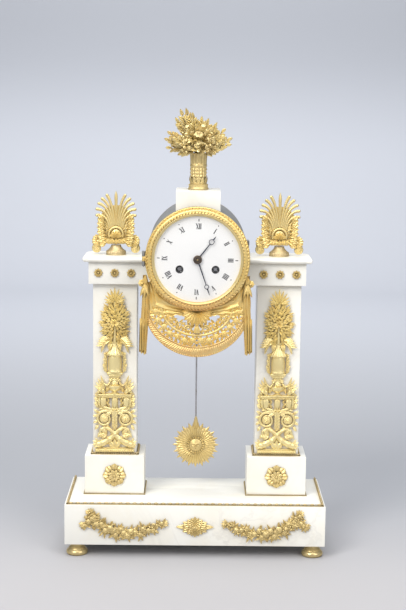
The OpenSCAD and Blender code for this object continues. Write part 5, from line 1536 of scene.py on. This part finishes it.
class CLOCK_OT_pendulum(Operator):
    """Sunburst bob with its mask and leaf hanger"""
    bl_idname = "clock.pendulum"
    bl_label = "Pendulum"

    def execute(self, context):
        low, high = box("pendulum_bob")
        tip, depth = (high.x - low.x) / 2, 13.0
        place = front_of(0, depth, low.z + tip)
        rays = sizes().rays
        start, inside, disc = 9.0, 6.0, tip * 0.78
        form = Form()
        for tier, (share, wide, out) in enumerate(((1.08, 6.4, -0.8), (0.97, 5.2, -0.1))):
            form.whorl(place @ flat(0, 0, out), rays, start, tip * share - start, wide, 180 * tier / rays,
                       arch=0.4, tip=0.2, shape=ray, thick=0.9, groove=1.5, steps=9)

        def chased(u, v):
            a = TAU * u
            r = inside + (disc - inside) * v
            rib = 0.9 * abs(cos(rays * a)) * (0.4 + 0.6 * v)
            return (r * sin(a), r * cos(a), 1.4 - 0.6 * v + rib + 0.3 * cos(3 * pi * v))
        form.panel(chased, 12 * rays, 12, 2.6, place)
        form.lathe([(0.05, -1.4), (9.0, -1.4), (9.4, 0.6), (8.6, 1.8), (0.05, 2.0)], place, 48)
        form.whorl(place @ flat(0, 0, 2.0), 20, 7.2, 3.6, 2.4, bend=30, arch=0.5, tip=0.2)
        sun_face(form, place @ flat(0, 0, 2.4), 7.4)
        hanger = place @ flat(0, tip * 0.72)
        for turn, reach, wide in ((0, high.z - low.z - tip * 1.74, 5.2), (-20, 9, 3.4), (20, 9, 3.4)):
            for flip in (0, 180):
                root = hanger @ flat(0, 0, 0.2, turn) @ turned(flip, "Y")
                form.leaf(root, reach, wide, 0, 0.5, 0.2, thick=0.9)
        add_form("sunburst_bob", form, ormolu, nodes=("pendulum_bob",), body="pendulum")
        return {"FINISHED"}


class CLOCK_OT_movement(Operator):
    """Brass and steel of the movement, and the rods, bolts and pins of the case"""
    bl_idname = "clock.movement"
    bl_label = "Movement"

    def execute(self, context):
        for node in BRASS_NODES:
            paint_node(node, brass)
        for node in STEEL_NODES:
            paint_node(node, steel)
        return {"FINISHED"}


# Stage, with lamps in metres and watts, and the camera in millimetres and degrees

SKY = (0.86, 0.90, 1.0, 1)
SKY_STRENGTH = 0.42
CLOCK_MIDDLE = (0, 0, 0.24)
WALL_FOOT = (0, 2.6, 0.4)
# Name, place, aim, power, width and tint of each lamp
LAMPS = (
    ("key", (-1.05, -1.5, 1.65), CLOCK_MIDDLE, 31, 0.9, (1.0, 0.97, 0.92)),
    ("fill", (1.25, -1.5, 1.35), CLOCK_MIDDLE, 15, 1.1, (1.0, 0.98, 0.95)),
    ("top", (0.0, -0.3, 1.9), CLOCK_MIDDLE, 24, 1.4, (1.0, 0.99, 0.97)),
    ("wall", (0.0, 1.3, 1.9), WALL_FOOT, 26, 1.6, (0.97, 0.98, 1.0)),
)
CAMERA_AT = (-1.78, -1569.6, 515.2)
CAMERA_YAW, CAMERA_PITCH, CAMERA_ROLL = -0.31, -8.70, 0.63
FOCAL_PIXELS, PHOTO_PIXELS, SENSOR_WIDTH = 1400, 610, 36.0


class CLOCK_OT_stage(Operator):
    """Pale floor with a backdrop, soft lights and the camera"""
    bl_idname = "clock.stage"
    bl_label = "Stage"

    def execute(self, context):
        self.backdrop()
        self.lights()
        self.camera()
        return {"FINISHED"}

    def backdrop(self):
        c = colours()
        near, fold, bend, high, half = -20000, 2000, 600, 4000, 9000
        line = [(near, 0), (fold, 0)]
        line += [(fold + bend * sin(radians(a)), bend - bend * cos(radians(a))) for a in range(5, 91, 5)]
        line.append((fold + bend, high))
        mesh = bpy.data.meshes.new("backdrop")
        points = [(x * MM, y * MM, z * MM) for y, z in line for x in (-half, half)]
        faces = [(2 * i, 2 * i + 1, 2 * i + 3, 2 * i + 2) for i in range(len(line) - 1)]
        mesh.from_pydata(points, [], faces)
        mesh.shade_smooth()
        f = Finish("studio_paper", roughness=0.8, specular_ior_level=0.1)
        back = f.along("Y")
        # Painted shade on the paper: the floor darkens into a band behind the clock, then fades to the
        # backdrop colour further back.
        ground = f.mix(back.between(-0.2, 0.25), c.floor, shade(c.wall, 0.65))
        paper = f.mix(back.between(0.3, 1.9), ground, c.wall)
        # Painted shade: the backdrop darkens towards its top.
        f.set(base_color=f.mix(f.along("Z").between(0.3, 0.75), paper, shade(c.wall, 0.75)))
        mesh.materials.append(f.material)
        floor = bpy.data.objects.new("backdrop", mesh)
        bpy.context.scene.collection.objects.link(floor)

    def lights(self):
        scene = bpy.context.scene
        scene.view_settings.view_transform = "Standard"
        world = bpy.data.worlds.new("studio")
        world.use_nodes = True
        sky = world.node_tree.nodes["Background"]
        sky.inputs["Color"].default_value = SKY
        sky.inputs["Strength"].default_value = SKY_STRENGTH
        scene.world = world
        for name, place, goal, power, size, tint in LAMPS:
            data = bpy.data.lights.new(name, "AREA")
            data.energy, data.size, data.color = power, size, tint
            lamp = bpy.data.objects.new(name, data)
            lamp.location = place
            lamp.rotation_euler = (Vector(goal) - lamp.location).to_track_quat("-Z", "Y").to_euler()
            scene.collection.objects.link(lamp)

    def camera(self):
        scene = bpy.context.scene
        yaw, pitch, roll = (radians(a) for a in (CAMERA_YAW, CAMERA_PITCH, CAMERA_ROLL))
        level = Matrix.Rotation(yaw, 3, "Z").transposed()
        rows = Matrix.Rotation(-roll, 3, "Y").transposed() @ Matrix.Rotation(-pitch, 3, "X") @ level
        right, ahead, above = rows
        data = bpy.data.cameras.new("photo_view")
        data.sensor_width = SENSOR_WIDTH
        data.lens = FOCAL_PIXELS * SENSOR_WIDTH / PHOTO_PIXELS
        data.clip_end = 20
        camera = bpy.data.objects.new("photo_view", data)
        turn = Matrix((right, above, -ahead)).transposed().to_4x4()
        camera.matrix_world = Matrix.Translation(Vector(CAMERA_AT) * MM) @ turn
        scene.collection.objects.link(camera)
        scene.camera = camera


class CLOCK_PT_sidebar(Panel):
    """Sidebar list of the clock's builders and values"""
    bl_idname = "CLOCK_PT_sidebar"
    bl_label = "Portico clock"
    bl_space_type = "VIEW_3D"
    bl_region_type = "UI"
    bl_category = "Clock"

    def draw(self, context):
        for group in (context.scene.clock_sizes, context.scene.clock_colours):
            for key in group.__annotations__:
                self.layout.prop(group, key)
        for builder in BUILDERS:
            self.layout.operator(builder.bl_idname)


BUILDERS = (CLOCK_OT_stage, CLOCK_OT_marble, CLOCK_OT_feet, CLOCK_OT_beading, CLOCK_OT_base_mounts,
            CLOCK_OT_rosettes, CLOCK_OT_trophies, CLOCK_OT_palmettes, CLOCK_OT_drum, CLOCK_OT_bezel,
            CLOCK_OT_dial, CLOCK_OT_hands, CLOCK_OT_apron, CLOCK_OT_draperies, CLOCK_OT_flowers,
            CLOCK_OT_pendulum, CLOCK_OT_movement)
CLASSES = (ClockSizes, ClockColours, *BUILDERS, CLOCK_PT_sidebar)


def register():
    for cls in CLASSES:
        bpy.utils.register_class(cls)
    bpy.types.Scene.clock_sizes = PointerProperty(type=ClockSizes)
    bpy.types.Scene.clock_colours = PointerProperty(type=ClockColours)


def unregister():
    del bpy.types.Scene.clock_colours
    del bpy.types.Scene.clock_sizes
    for cls in reversed(CLASSES):
        bpy.utils.unregister_class(cls)


def main():
    register()
    for builder in BUILDERS:
        group, name = builder.bl_idname.split(".")
        getattr(getattr(bpy.ops, group), name)()


if __name__ == "__main__":
    main()
